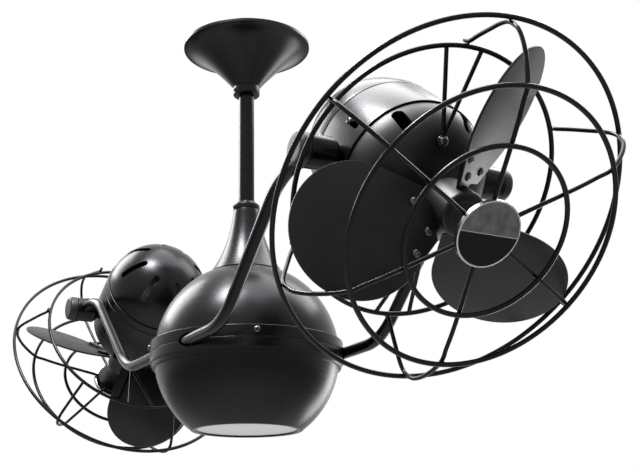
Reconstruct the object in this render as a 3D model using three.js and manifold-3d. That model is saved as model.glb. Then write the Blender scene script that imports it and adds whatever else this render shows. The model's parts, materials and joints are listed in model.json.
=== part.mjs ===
// Twin head ceiling fan: a trumpet canopy and downrod carry a neck, under which a globe turns.
// Two pairs of bent arms leave the globe and hold a tilting fan head each.
// Millimetres, +Z up. The origin is the middle of the ceiling bracket's top face, on the ceiling.
// The heads lie along X, and their tilt axes run along Y.
import * as THREE from 'three';
import { mergeVertices } from 'three/addons/utils/BufferGeometryUtils.js';
import Module from 'manifold-3d';

const wasm = await Module();
wasm.setup();

// ---------------------------------------------------------------- driving dimensions (mm, degrees)
const FIT_GAP = 0.3; // between pieces that touch and are fixed to each other
const RUN_GAP = 0.45; // between pieces that turn in each other

const BRACKET = { radius: 52, plate: 3, cupRadius: 24, cupDepth: 32 };
const BALL_RADIUS = 17;
const CANOPY = { rimRadius: 79, lip: 4, height: 56, baseRadius: 16.5, wall: 2, facets: 28 };
const CANOPY_FLARE = { straight: 0.62, root: 0.38, power: 0.86 }; // how the trumpet narrows
const CANOPY_COLLAR = { radius: 16.5, height: 11, chamfer: 1.5 };
const ROD = { radius: 9.5, wall: 2, exposed: 141, seat: 26 };
const NECK_COLLAR = { radius: 16, topRadius: 11.5, height: 9.5, band: 5.2 }; // straight band under a cone
const NECK = { topRadius: 15.4, baseRadius: 42.5, height: 78, wall: 2.5, solid: 36 };
const NECK_FLARE = { cone: 11, power: 2.6 }; // how much of the widening is straight, and how the rest goes
const SPINDLE = { radius: 10, wall: 4, flange: 14.5, flangeHeight: 5, nutRadius: 17, nutHeight: 6 };
const COLLAR_SCREW = { radius: 2.4, proud: 1.6 };

const GLOBE = { radius: 107.5, wall: 2.2, topHole: 26, opening: 63.3, neckGap: 0.9 };
const BAND = { proud: 4.5, above: 13, below: 12, slotRoom: 1.8 };
const SILL = { proud: 1.9, topProud: 2.4, height: 5 }; // the low step under the band, out from the globe
const BAND_SCREW = { head: 3.6, headHeight: 2, shank: 1.8, length: 4, rise: 7, count: 4, start: -20 };
const CARRIER = { thickness: 5, hub: 30, hubHeight: 26 };
const CLAMP = { length: 22, width: 14, over: 1.5 }; // the carrier's block round each tube's end
const BEARING = { radius: 20, height: 10 };
const LENS = { thickness: 3, ringHeight: 8, ringWidth: 5, lip: 1.6, chamfer: 1 };
const LAMP = { baseRadius: 20, baseHeight: 16, bulbRadius: 20, bulbNeck: 11, flange: 12, flangeHeight: 3 };

const ARM = { inset: 17, tube: 6.5, bore: 4.5, innerEnd: 12, bend: 55, facets: 10 }; // inset: from the band
const ARM_CORNER = { lower: 29, upper: 67 }; // where its slope meets the level: from band, from pivot
const PIVOT = { reach: 339, rise: 118 };
const KNUCKLE = { radius: 16.3, noseRadius: 10.5, inward: 22, cone: 7, outward: 10.5, chamfer: 1 }; // from its arm
const TRUNNION = { radius: 8, flange: 13, flangeLength: 4, facets: 12 };
const TRUNNION_CAP = { radius: 16.3, length: 11, chamfer: 2.5 };
const TILT = { right: 39.6, left: 29.4 }; // below the horizontal, at rest

const MOTOR = { clear: 1, wall: 2.4, domeStep: 2, bandStart: -50, bandEnd: 18, domeFacets: 20 };
const MOTOR_LIP = { length: 3, height: 1.2 }; // at the band's front edge
const NOSE = { end: 60, radius: 30, shaftRoom: 2 };
const REAR_SLOT = { count: 8, width: 8.5, length: 42, depth: 20, angle: 47.7, clock: -4 };
const FRONT_SLOT = { count: 6, width: 12, length: 26, depth: 30, sunk: 2.5, ahead: 16, slope: 68, clock: 7.5 };
const STATOR = { length: 44, bore: 9, back: 1, pinRoom: 1.5 };
const SHAFT = { radius: 6, tail: 84, taper: 12, front: 106 };
const HUB = { radius: 21, start: 63, end: 114, boss: 12, cone: 15, chamfer: 5 };
const IRON = { inner: 14, width: 13, thickness: 3, pad: 8 };
const IRON_PADS = [[36, -13], [31, 15], [47, 31]]; // where its screws are: out from the shaft, and across
const BLADE = { count: 3, paddle: 60.5, centre: 92, root: 24, rootHalf: 24, thickness: 2.4 };
const BLADE_SET = { pitch: 37, plane: 98, shoulder: 36 }; // shoulder: where the paddle's edge meets the root
const BLADE_CLOCK = { right: 81, left: 16 };

const RINGS = {
  rear: { radius: 129.7, along: 45.8 },
  outer: { radius: 167.9, along: 95.8 },
  middle: { radius: 125.2, along: 149.1 },
  inner: { radius: 76, along: 151.9 },
};
const RING_FACETS = { rear: 30, outer: 36, middle: 30, inner: 24 };
const RING_WIRE = 2.3; // half the thickness of a ring's wire
const CAGE_WIRE = 2; // half the thickness of a crossing wire
const WIRE = { count: 6, apexForward: 7, straight: 9, stub: 7 };
const WIRE_CLOCK = { right: 34, left: 14 };
const PLATE = { radius: 26, thickness: 5 };
const BADGE = { radius: 30, thickness: 5, edge: 1.5 };
// inset: from the dome's edge to its eyelets; lean: how far the middle of its legs is turned back from them
const BRACE = { spread: 8, lean: 6, inset: 24, angles: [101, -79] };
const EYELET = { radius: 5.5, bore: 2.6, height: 4, facets: 8 };
const EYELET_STUD = { radius: 2.2, proud: 2 };
const GLOBE_SIDES = 28; // facets round the globe's shells and its lens
const HUB_SIDES = 20; // facets round the rod and what sits on it
const MOTOR_SIDES = 24; // facets round the motor band and what sits in it

// ---------------------------------------------------------------- derived places
const BAND_RADIUS = GLOBE.radius + BAND.proud;
const ARM_Y = BAND_RADIUS - ARM.inset;
const KNUCKLE_INNER = ARM_Y - KNUCKLE.inward;
const KNUCKLE_OUTER = ARM_Y + KNUCKLE.outward;
const MOTOR_RADIUS = KNUCKLE_INNER - MOTOR.clear;
const DOME_RADIUS = MOTOR_RADIUS - MOTOR.domeStep;
const BRACE_RADIUS = DOME_RADIUS - BRACE.inset;
const CANOPY_FOOT = -CANOPY.height;
const COLLAR_TOP = CANOPY_FOOT - FIT_GAP;
const COLLAR_FOOT = COLLAR_TOP - CANOPY_COLLAR.height;
const NECK_COLLAR_TOP = COLLAR_FOOT - ROD.exposed;
const NECK_COLLAR_FOOT = NECK_COLLAR_TOP - NECK_COLLAR.height;
const CANOPY_SCREW_Z = (COLLAR_TOP + COLLAR_FOOT) / 2;
const NECK_SCREW_Z = NECK_COLLAR_FOOT + NECK_COLLAR.band / 2 + FIT_GAP;
const NECK_TOP = NECK_COLLAR_FOOT - FIT_GAP;
const NECK_FOOT = NECK_TOP - NECK.height;
const GLOBE_CENTRE = NECK_FOOT - GLOBE.neckGap - heightOnSphere(GLOBE.radius, NECK.baseRadius);
const ROD_FOOT = NECK_TOP - ROD.seat;
const BALL_CENTRE = -BRACKET.plate - BALL_RADIUS - RUN_GAP;
const ROD_TOP = BALL_CENTRE + BALL_RADIUS * 0.5;
const SPINDLE_TOP = NECK_TOP - NECK.solid - FIT_GAP;
const CARRIER_TOP = GLOBE_CENTRE - ARM.tube - FIT_GAP;
const CARRIER_FOOT = CARRIER_TOP - CARRIER.thickness;
const CARRIER_RADIUS = flatRadius(
  heightOnSphere(GLOBE.radius - GLOBE.wall, GLOBE_CENTRE - CARRIER_FOOT), GLOBE_SIDES) - 2 * FIT_GAP;
const BEARING_FOOT = CARRIER_TOP + CARRIER.hubHeight - BEARING.height;
const SPINDLE_FOOT = BEARING_FOOT - RUN_GAP;
const OPENING_Z = GLOBE_CENTRE - heightOnSphere(GLOBE.radius, GLOBE.opening);
const ROD_BORE = ROD.radius + FIT_GAP;

// ---------------------------------------------------------------- helpers
function heightOnSphere(radius, distance) {
  return Math.sqrt(radius * radius - distance * distance);
}

const radians = THREE.MathUtils.degToRad;

/** Points of an arc of a circle in a profile plane, from one angle to another, both in degrees. */
function arc(centre, radius, from, to, steps) {
  const points = [];
  for (let step = 0; step <= steps; step += 1) {
    const angle = radians(from + ((to - from) * step) / steps);
    points.push([centre[0] + radius * Math.cos(angle), centre[1] + radius * Math.sin(angle)]);
  }
  return points;
}

/** A surface of revolution round Z from a closed profile of [radius, z] points. */
function revolve(profile, segments = HUB_SIDES) {
  const points = profile.map(([radius, along]) => new THREE.Vector2(Math.max(radius, 0), along));
  const onAxis = points[0].x === 0 && points[points.length - 1].x === 0;
  if (!onAxis) points.push(points[0].clone());
  const geometry = new THREE.LatheGeometry(points, segments);
  geometry.rotateX(Math.PI / 2);
  return solid(geometry);
}

/** The same round X, from a closed profile of [radius, x] points. */
function revolveAlongX(profile, segments) {
  return revolve(profile, segments).rotate([0, 90, 0]);
}

/** The same round Y, from a closed profile of [radius, y] points. */
function revolveAlongY(profile, segments) {
  return revolve(profile, segments).rotate([-90, 0, 0]);
}

function rod(radius, from, to, segments = 16) {
  return revolve([[0, from], [radius, from], [radius, to], [0, to]], segments);
}

function rodAlongY(radius, from, to) {
  return revolveAlongY([[0, from], [radius, from], [radius, to], [0, to]], TRUNNION.facets);
}

/** Radius at the flats of a many-sided surface of revolution. */
function flatRadius(radius, segments) {
  return radius * Math.cos(Math.PI / segments);
}

/** Radius at a many-sided hole's corners, when a round bar of this radius has to pass its flats. */
function holeRadius(radius, segments) {
  return radius / Math.cos(Math.PI / segments);
}

function tubeProfile(inner, outer, from, to) {
  return [[inner, from], [outer, from], [outer, to], [inner, to]];
}

/** Turns a closed three.js geometry into a solid that can be joined and cut. */
function solid(geometry) {
  const bare = geometry.index ? geometry.toNonIndexed() : geometry.clone();
  bare.deleteAttribute('normal');
  bare.deleteAttribute('uv');
  const merged = mergeVertices(bare, 1e-4);
  const kept = [];
  for (let i = 0; i < merged.index.count; i += 3) {
    const [a, b, c] = [0, 1, 2].map((k) => merged.index.getX(i + k));
    if (a !== b && b !== c && c !== a) kept.push(a, b, c);
  }
  const mesh = new wasm.Mesh({
    numProp: 3,
    vertProperties: new Float32Array(merged.attributes.position.array),
    triVerts: new Uint32Array(kept),
  });
  const body = new wasm.Manifold(mesh);
  return body.volume() < 0 ? flipped(mesh) : body;
}

function flipped(mesh) {
  const triVerts = Uint32Array.from(mesh.triVerts);
  for (let i = 0; i < triVerts.length; i += 3) {
    [triVerts[i], triVerts[i + 1]] = [triVerts[i + 1], triVerts[i]];
  }
  return new wasm.Manifold(new wasm.Mesh({ numProp: 3, vertProperties: mesh.vertProperties, triVerts }));
}

function joined(bodies) {
  return bodies.reduce((whole, body) => whole.add(body));
}

/** A path through given stations, with one cross-section at each of them. */
class StationPath extends THREE.Curve {
  constructor(stations) {
    super();
    this.stations = stations;
  }

  getPoint(t, target = new THREE.Vector3()) {
    const place = t * (this.stations.length - 1);
    const index = Math.min(Math.floor(place), this.stations.length - 2);
    return target.lerpVectors(this.stations[index], this.stations[index + 1], place - index);
  }

  getPointAt(t, target) {
    return this.getPoint(t, target);
  }

  getTangent(t, target = new THREE.Vector3()) {
    const { stations } = this;
    const last = stations.length - 1;
    const index = Math.round(t * last);
    const before = direction(stations[Math.max(index - 1, 0)], stations[Math.max(index, 1)]);
    const after = direction(stations[Math.min(index, last - 1)], stations[Math.min(index + 1, last)]);
    return target.addVectors(before, after).normalize();
  }

  getTangentAt(t, target) {
    return this.getTangent(t, target);
  }
}

function direction(from, to) {
  return new THREE.Vector3().subVectors(to, from).normalize();
}

/** A round bar along a path of stations. */
function bar(stations, radius, sides) {
  const section = new THREE.Shape();
  for (let side = 0; side < sides; side += 1) {
    const angle = (2 * Math.PI * side) / sides;
    const point = [radius * Math.cos(angle), radius * Math.sin(angle)];
    if (side === 0) section.moveTo(...point);
    else section.lineTo(...point);
  }
  section.closePath();
  const geometry = new THREE.ExtrudeGeometry(section, {
    steps: stations.length - 1,
    bevelEnabled: false,
    extrudePath: new StationPath(stations),
  });
  return solid(geometry);
}

/** A slot with round ends, long along Y, cut through along X. */
function slotCutter(width, length, depth) {
  const half = length / 2 - width / 2;
  const outline = [...arc([0, half], width / 2, 0, 180, 2), ...arc([0, -half], width / 2, 180, 360, 2)];
  const shape = new THREE.Shape(outline.map(([x, y]) => new THREE.Vector2(x, y)));
  const geometry = new THREE.ExtrudeGeometry(shape, { depth, steps: 1, bevelEnabled: false });
  geometry.translate(0, 0, -depth / 2);
  geometry.rotateX(Math.PI / 2);
  geometry.rotateZ(Math.PI / 2);
  geometry.rotateX(Math.PI / 2);
  return solid(geometry);
}

const FINISHES = {
  satinBlack: { color: 0x1d1d1f, roughness: 0.38, metalness: 0.85 },
  bladeBlack: { color: 0x2a2a2c, roughness: 0.5, metalness: 0.5 },
  wireBlack: { color: 0x19191a, roughness: 0.34, metalness: 0.8 },
  brushedSteel: { color: 0x8d8d8f, roughness: 0.3, metalness: 1 },
  darkSteel: { color: 0x4a4a4c, roughness: 0.4, metalness: 1 },
  frostedWhite: { color: 0xe6e6e4, roughness: 0.6, metalness: 0 },
  whiteCeramic: { color: 0xd9d6cc, roughness: 0.5, metalness: 0 },
  copper: { color: 0x9a5a34, roughness: 0.45, metalness: 1 },
};

/** A named mesh of one solid, with its own material. */
function piece(name, body, finish) {
  const { vertProperties, triVerts } = body.getMesh();
  const geometry = new THREE.BufferGeometry();
  geometry.setAttribute('position', new THREE.BufferAttribute(Float32Array.from(vertProperties), 3));
  geometry.setIndex(new THREE.BufferAttribute(Uint32Array.from(triVerts), 1));
  geometry.computeVertexNormals();
  const mesh = new THREE.Mesh(geometry, new THREE.MeshStandardMaterial(FINISHES[finish]));
  mesh.name = name;
  return mesh;
}

// ---------------------------------------------------------------- ceiling mount, canopy and rod
/** A plate against the ceiling, with a cup under it that holds the hanger ball. */
function ceilingBracket() {
  const lipZ = -BRACKET.cupDepth;
  const seatRadius = BALL_RADIUS + RUN_GAP;
  const throat = ROD.radius + 3;
  const throatZ = BALL_CENTRE - heightOnSphere(seatRadius, throat);
  const throatAngle = THREE.MathUtils.radToDeg(Math.atan2(throatZ - BALL_CENTRE, throat));
  const seat = arc([0, BALL_CENTRE], seatRadius, throatAngle, 0, 4);
  return revolve([
    [0, 0],
    [BRACKET.radius, 0],
    [BRACKET.radius, -BRACKET.plate],
    [BRACKET.cupRadius, -BRACKET.plate],
    [BRACKET.cupRadius, lipZ],
    [throat, lipZ],
    ...seat,
    [seatRadius, -BRACKET.plate],
    [0, -BRACKET.plate],
  ]);
}

/** The ball that the rod hangs by, with the rod's bore through it. */
function hangerBall() {
  const edge = heightOnSphere(BALL_RADIUS, ROD_BORE);
  const edgeAngle = THREE.MathUtils.radToDeg(Math.atan2(edge, ROD_BORE));
  return revolve(arc([0, BALL_CENTRE], BALL_RADIUS, -edgeAngle, edgeAngle, 5), HUB_SIDES);
}

/** Radius of the canopy's outside at a share of its height, from the rim down: a trumpet. */
function canopyRadius(share) {
  const flare = CANOPY_FLARE.straight * share + CANOPY_FLARE.root * Math.sqrt(share);
  return CANOPY.rimRadius - (CANOPY.rimRadius - CANOPY.baseRadius) * flare ** CANOPY_FLARE.power;
}

function canopyShell() {
  const steps = 6;
  const outside = [];
  for (let step = 0; step <= steps; step += 1) {
    const share = step / steps;
    outside.push([canopyRadius(share), -CANOPY.lip - (CANOPY.height - CANOPY.lip) * share]);
  }
  const across = CANOPY.wall * 1.2; // the wall's two parts, square to a slope that falls inward
  const down = CANOPY.wall * 0.8;
  const inside = outside
    .filter((point, step) => step % 2 === 0)
    .map(([radius, z]) => [radius - across, z + down]);
  return revolve([
    [CANOPY.rimRadius - CANOPY.wall, 0],
    ...inside,
    [ROD_BORE, CANOPY_FOOT + down],
    [ROD_BORE, CANOPY_FOOT],
    ...outside.reverse(),
    [CANOPY.rimRadius, 0],
  ], CANOPY.facets);
}

function canopyCollar() {
  const ring = revolve([
    [ROD_BORE, COLLAR_FOOT],
    [CANOPY_COLLAR.radius - CANOPY_COLLAR.chamfer, COLLAR_FOOT],
    [CANOPY_COLLAR.radius, COLLAR_FOOT + CANOPY_COLLAR.chamfer],
    [CANOPY_COLLAR.radius, COLLAR_TOP],
    [ROD_BORE, COLLAR_TOP],
  ]);
  return ring.subtract(screwHole(CANOPY_SCREW_Z, CANOPY_COLLAR.radius));
}

/** A round bar along a set screw's line, on the front of the rod. */
function screwLine(z, radius, from, to) {
  return rod(radius, from, to, 10).rotate([90, 0, 0]).translate([0, 0, z]);
}

function screwHole(z, collarRadius) {
  return screwLine(z, COLLAR_SCREW.radius + FIT_GAP, ROD_BORE - 1, collarRadius + 1);
}

function setScrew(z, collarRadius) {
  return screwLine(z, COLLAR_SCREW.radius, ROD_BORE + FIT_GAP, collarRadius + COLLAR_SCREW.proud);
}

function downrod() {
  return revolve(tubeProfile(ROD.radius - ROD.wall, ROD.radius, ROD_FOOT, ROD_TOP), HUB_SIDES);
}

// ---------------------------------------------------------------- neck and spindle
function neckCollar() {
  const ring = revolve([
    [ROD_BORE, NECK_COLLAR_FOOT],
    [NECK_COLLAR.radius, NECK_COLLAR_FOOT],
    [NECK_COLLAR.radius, NECK_COLLAR_FOOT + NECK_COLLAR.band],
    [NECK_COLLAR.topRadius, NECK_COLLAR_TOP],
    [ROD_BORE, NECK_COLLAR_TOP],
  ]);
  return ring.subtract(screwHole(NECK_SCREW_Z, NECK_COLLAR.radius));
}

/** Radius of the neck's outside at a share of its height from the top: straight, then flaring. */
function neckRadius(share) {
  const flare = NECK.baseRadius - NECK.topRadius - NECK_FLARE.cone;
  return NECK.topRadius + NECK_FLARE.cone * share + flare * share ** NECK_FLARE.power;
}

function neckShell() {
  const steps = 6;
  const outside = [];
  for (let step = 0; step <= steps; step += 1) {
    const share = step / steps;
    outside.push([neckRadius(share), NECK_TOP - NECK.height * share]);
  }
  const webZ = NECK_TOP - NECK.solid;
  const inside = outside.filter(([, z]) => z < webZ - 4).map(([radius, z]) => [radius - NECK.wall, z]);
  return revolve([
    [ROD_BORE, NECK_TOP],
    [ROD_BORE, ROD_FOOT - FIT_GAP],
    [ROD.radius - ROD.wall, ROD_FOOT - FIT_GAP],
    [ROD.radius - ROD.wall, webZ],
    [inside[0][0] - 2, webZ],
    ...inside,
    ...outside.reverse(),
  ]);
}

/** The hollow axle under the neck that the globe turns on, with a nut face at its foot. */
function spindle() {
  const bore = SPINDLE.radius - SPINDLE.wall;
  return revolve([
    [bore, SPINDLE_TOP],
    [SPINDLE.flange, SPINDLE_TOP],
    [SPINDLE.flange, SPINDLE_TOP - SPINDLE.flangeHeight],
    [SPINDLE.radius, SPINDLE_TOP - SPINDLE.flangeHeight],
    [SPINDLE.radius, SPINDLE_FOOT],
    [SPINDLE.nutRadius, SPINDLE_FOOT],
    [SPINDLE.nutRadius, SPINDLE_FOOT - SPINDLE.nutHeight],
    [bore, SPINDLE_FOOT - SPINDLE.nutHeight],
  ], 16);
}

// ---------------------------------------------------------------- globe
/** Profile points of a half shell, from the band to the hole, in one radius. */
function globeArc(radius, start, end, sign, steps) {
  const from = THREE.MathUtils.radToDeg(Math.acos(start / radius));
  const to = THREE.MathUtils.radToDeg(Math.acos(end / radius));
  return arc([0, GLOBE_CENTRE], radius, sign * from, sign * to, steps);
}

/** The low step under the band: out from the globe's face, down and in again. */
function sillSteps(foot) {
  return [
    [GLOBE.radius + SILL.topProud, GLOBE_CENTRE - BAND.below],
    [GLOBE.radius + SILL.proud, GLOBE_CENTRE - foot],
  ];
}

function halfShell(sign, bandHeight, hole, sill = 0) {
  const inner = GLOBE.radius - GLOBE.wall;
  const foot = bandHeight + sill;
  const outerStart = heightOnSphere(GLOBE.radius, foot);
  const seam = GLOBE_CENTRE + (sign * FIT_GAP) / 2;
  const bandInner = BAND_RADIUS - GLOBE.wall;
  const innerHeight = bandHeight - GLOBE.wall;
  const innerStart = heightOnSphere(inner, innerHeight);
  const profile = [
    [bandInner, seam],
    [BAND_RADIUS, seam],
    [BAND_RADIUS, GLOBE_CENTRE + sign * bandHeight],
    ...(sill > 0 ? sillSteps(foot) : []),
    ...globeArc(GLOBE.radius, outerStart, hole, sign, 5),
    ...globeArc(inner, innerStart, hole, sign, 3).reverse(),
    [bandInner, GLOBE_CENTRE + sign * innerHeight],
  ];
  return revolve(profile, GLOBE_SIDES);
}

/** Openings in the band where the four arm tubes come out. */
function armSlots() {
  const slot = ARM.tube + BAND.slotRoom;
  return joined([1, -1].map((side) => (
    rod(slot, -BAND_RADIUS, BAND_RADIUS, 8).rotate([0, 90, 0]).translate([0, side * ARM_Y, GLOBE_CENTRE])
  )));
}

function bandScrewPlace(body, index) {
  return body
    .rotate([0, 90, 0])
    .translate([0, 0, GLOBE_CENTRE + BAND_SCREW.rise])
    .rotate([0, 0, BAND_SCREW.start + (360 / BAND_SCREW.count) * index]);
}

function bandScrew(index) {
  const seat = BAND_RADIUS + FIT_GAP;
  const shank = rod(BAND_SCREW.shank, seat - BAND_SCREW.length, seat + 0.5, 6);
  const head = rod(BAND_SCREW.head, seat, seat + BAND_SCREW.headHeight, 8);
  return bandScrewPlace(shank.add(head), index);
}

function bandScrewHoles() {
  const holes = [];
  for (let index = 0; index < BAND_SCREW.count; index += 1) {
    const hole = rod(BAND_SCREW.shank + FIT_GAP, BAND_RADIUS - 3 * GLOBE.wall, BAND_RADIUS + 1, 6);
    holes.push(bandScrewPlace(hole, index));
  }
  return joined(holes);
}

function upperShell() {
  return halfShell(1, BAND.above, GLOBE.topHole).subtract(armSlots()).subtract(bandScrewHoles());
}

function lowerShell() {
  return halfShell(-1, BAND.below, GLOBE.opening, SILL.height).subtract(armSlots());
}

/** The plate inside the globe that ties the four arms to the bearing. */
function armCarrier() {
  const hubTop = CARRIER_TOP + CARRIER.hubHeight;
  const bearingBore = BEARING.radius + FIT_GAP;
  const nutRoom = SPINDLE.nutRadius + RUN_GAP + 1;
  const plate = revolve([
    [nutRoom, CARRIER_FOOT],
    [CARRIER_RADIUS, CARRIER_FOOT],
    [CARRIER_RADIUS, CARRIER_TOP],
    [CARRIER.hub, CARRIER_TOP],
    [CARRIER.hub, hubTop],
    [bearingBore, hubTop],
    [bearingBore, BEARING_FOOT - FIT_GAP],
    [nutRoom, BEARING_FOOT - FIT_GAP],
  ], GLOBE_SIDES);
  const blocks = [];
  for (const side of [1, -1]) {
    for (const end of [1, -1]) {
      const height = ARM.tube + FIT_GAP + ARM.tube + CLAMP.over;
      const block = new THREE.BoxGeometry(CLAMP.length, CLAMP.width, height);
      const middle = ARM.innerEnd + CLAMP.over + CLAMP.length / 2;
      block.translate(end * middle, side * (ARM_Y - CLAMP.over), CARRIER_TOP + height / 2 - 1);
      blocks.push(solid(block));
    }
  }
  const bores = joined([1, -1].map((side) => (
    rod(holeRadius(ARM.tube + FIT_GAP, ARM.facets), -CARRIER_RADIUS, CARRIER_RADIUS, ARM.facets)
      .rotate([0, 90, 0])
      .translate([0, side * ARM_Y, GLOBE_CENTRE])
  )));
  return joined([plate, ...blocks]).subtract(bores);
}

function spindleBearing() {
  const bore = SPINDLE.radius + RUN_GAP;
  return revolve(tubeProfile(bore, BEARING.radius, BEARING_FOOT, BEARING_FOOT + BEARING.height), HUB_SIDES);
}

// ---------------------------------------------------------------- light in the globe's foot
/** A ring inside the opening that the glass rests on. */
function lensRing() {
  const outer = GLOBE.opening - FIT_GAP;
  const inner = outer - LENS.ringWidth;
  const shellInner = heightOnSphere(GLOBE.radius - GLOBE.wall, GLOBE.opening);
  const top = GLOBE_CENTRE - shellInner + LENS.ringHeight;
  const { lip } = LENS;
  return revolve([
    [inner, OPENING_Z],
    [outer - LENS.chamfer, OPENING_Z],
    [outer, OPENING_Z + LENS.chamfer],
    [outer, top],
    [inner + lip, top],
    [inner + lip, OPENING_Z + lip],
    [inner, OPENING_Z + lip],
  ], GLOBE_SIDES);
}

function lensDisc() {
  const radius = GLOBE.opening - LENS.ringWidth + LENS.lip - 2 * FIT_GAP;
  const foot = OPENING_Z + LENS.lip + FIT_GAP;
  return rod(radius, foot, foot + LENS.thickness, GLOBE_SIDES);
}

/** A bridge under the carrier with the lamp's base. */
function lampHolder() {
  const top = CARRIER_FOOT - FIT_GAP;
  const foot = top - LAMP.baseHeight;
  const bore = LAMP.bulbNeck + FIT_GAP;
  return revolve([
    [bore, foot],
    [LAMP.baseRadius, foot],
    [LAMP.baseRadius, top - LAMP.flangeHeight],
    [LAMP.baseRadius + LAMP.flange, top - LAMP.flangeHeight],
    [LAMP.baseRadius + LAMP.flange, top],
    [bore, top],
  ], 16);
}

function lampBulb() {
  const top = CARRIER_FOOT - LAMP.flangeHeight;
  const centre = CARRIER_FOOT - LAMP.baseHeight - LAMP.bulbRadius;
  const joint = THREE.MathUtils.radToDeg(Math.acos(LAMP.bulbNeck / LAMP.bulbRadius));
  return revolve([
    [0, centre - LAMP.bulbRadius],
    ...arc([0, centre], LAMP.bulbRadius, -60, joint, 4),
    [LAMP.bulbNeck, top],
    [0, top],
  ], 16);
}

// ---------------------------------------------------------------- arms
/** Stations of an arm's centre line: out of the globe, up a slope, and level into the knuckle. */
function armStations(start) {
  const lower = new THREE.Vector2(BAND_RADIUS + ARM_CORNER.lower, 0);
  const upper = new THREE.Vector2(PIVOT.reach - ARM_CORNER.upper, PIVOT.rise);
  const slope = Math.atan2(upper.y - lower.y, upper.x - lower.x);
  const tangent = ARM.bend * Math.tan(slope / 2);
  const rise = THREE.MathUtils.radToDeg(slope);
  const lowerArc = arc([lower.x - tangent, ARM.bend], ARM.bend, -90, -90 + rise, 4);
  const upperArc = arc([upper.x + tangent, PIVOT.rise - ARM.bend], ARM.bend, 90 + rise, 90, 4);
  const profile = [[start, 0], ...lowerArc, ...upperArc, [PIVOT.reach, PIVOT.rise]];
  return profile.map(([x, z]) => new THREE.Vector3(x, 0, z));
}

/** One arm: a bent tube with the knuckle that the head's trunnion turns in. */
function arm(end, side) {
  const knuckle = revolveAlongY([
    [0, KNUCKLE_INNER],
    [KNUCKLE.noseRadius, KNUCKLE_INNER],
    [KNUCKLE.radius, KNUCKLE_INNER + KNUCKLE.cone],
    [KNUCKLE.radius, KNUCKLE_OUTER - KNUCKLE.chamfer],
    [KNUCKLE.radius - KNUCKLE.chamfer, KNUCKLE_OUTER],
    [0, KNUCKLE_OUTER],
  ], 16);
  const place = [PIVOT.reach, 0, PIVOT.rise];
  const tube = bar(armStations(ARM.innerEnd), ARM.tube, ARM.facets).translate([0, ARM_Y, 0]);
  const bore = bar(armStations(ARM.innerEnd - 1), ARM.bore, ARM.facets / 2).translate([0, ARM_Y, 0]);
  const pinBore = rodAlongY(TRUNNION.radius + RUN_GAP, KNUCKLE_INNER - 1, KNUCKLE_OUTER + 1)
    .translate(place);
  const whole = tube.add(knuckle.translate(place)).subtract(bore).subtract(pinBore);
  return whole.translate([0, 0, GLOBE_CENTRE]).scale([end, side, 1]);
}

// ---------------------------------------------------------------- fan head, along +X from its tilt axis
const SHELL_INNER = MOTOR_RADIUS - MOTOR.wall;
const FLANGE_SEAT = heightOnSphere(flatRadius(SHELL_INNER, MOTOR_SIDES), TRUNNION.flange);
const STATOR_FRONT = MOTOR.bandStart + STATOR.back + STATOR.length;

function motorRearDome() {
  const centre = MOTOR.bandStart - FIT_GAP;
  const inner = DOME_RADIUS - MOTOR.wall;
  const shell = revolveAlongX([
    ...arc([0, centre], DOME_RADIUS, 0, -90, 6),
    ...arc([0, centre], inner, -90, 0, 4),
  ], MOTOR.domeFacets);
  const slots = [];
  for (let index = 0; index < REAR_SLOT.count; index += 1) {
    slots.push(
      slotCutter(REAR_SLOT.width, REAR_SLOT.length, REAR_SLOT.depth)
        .translate([DOME_RADIUS, 0, 0])
        .rotate([0, 0, 180 - REAR_SLOT.angle])
        .rotate([(360 / REAR_SLOT.count) * index + REAR_SLOT.clock, 0, 0])
        .translate([centre, 0, 0]),
    );
  }
  return shell.subtract(joined(slots));
}

/** The middle band of the motor case, with the two trunnion holes. */
function motorBand() {
  const band = revolveAlongX([
    [SHELL_INNER, MOTOR.bandStart],
    [MOTOR_RADIUS, MOTOR.bandStart],
    [MOTOR_RADIUS, MOTOR.bandEnd - MOTOR_LIP.length],
    [MOTOR_RADIUS + MOTOR_LIP.height, MOTOR.bandEnd - MOTOR_LIP.length],
    [MOTOR_RADIUS + MOTOR_LIP.height, MOTOR.bandEnd],
    [SHELL_INNER, MOTOR.bandEnd],
  ], MOTOR_SIDES);
  const halfWidth = MOTOR_RADIUS + 5;
  return band.subtract(rodAlongY(TRUNNION.radius + FIT_GAP, -halfWidth, halfWidth));
}

/** Radius of the front dome's outside at a distance along the head's axis. */
function noseRadius(along) {
  const share = (along - MOTOR.bandEnd) / (NOSE.end - MOTOR.bandEnd);
  return NOSE.radius + (DOME_RADIUS - NOSE.radius) * Math.sqrt(Math.max(1 - share ** 2, 0));
}

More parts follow.
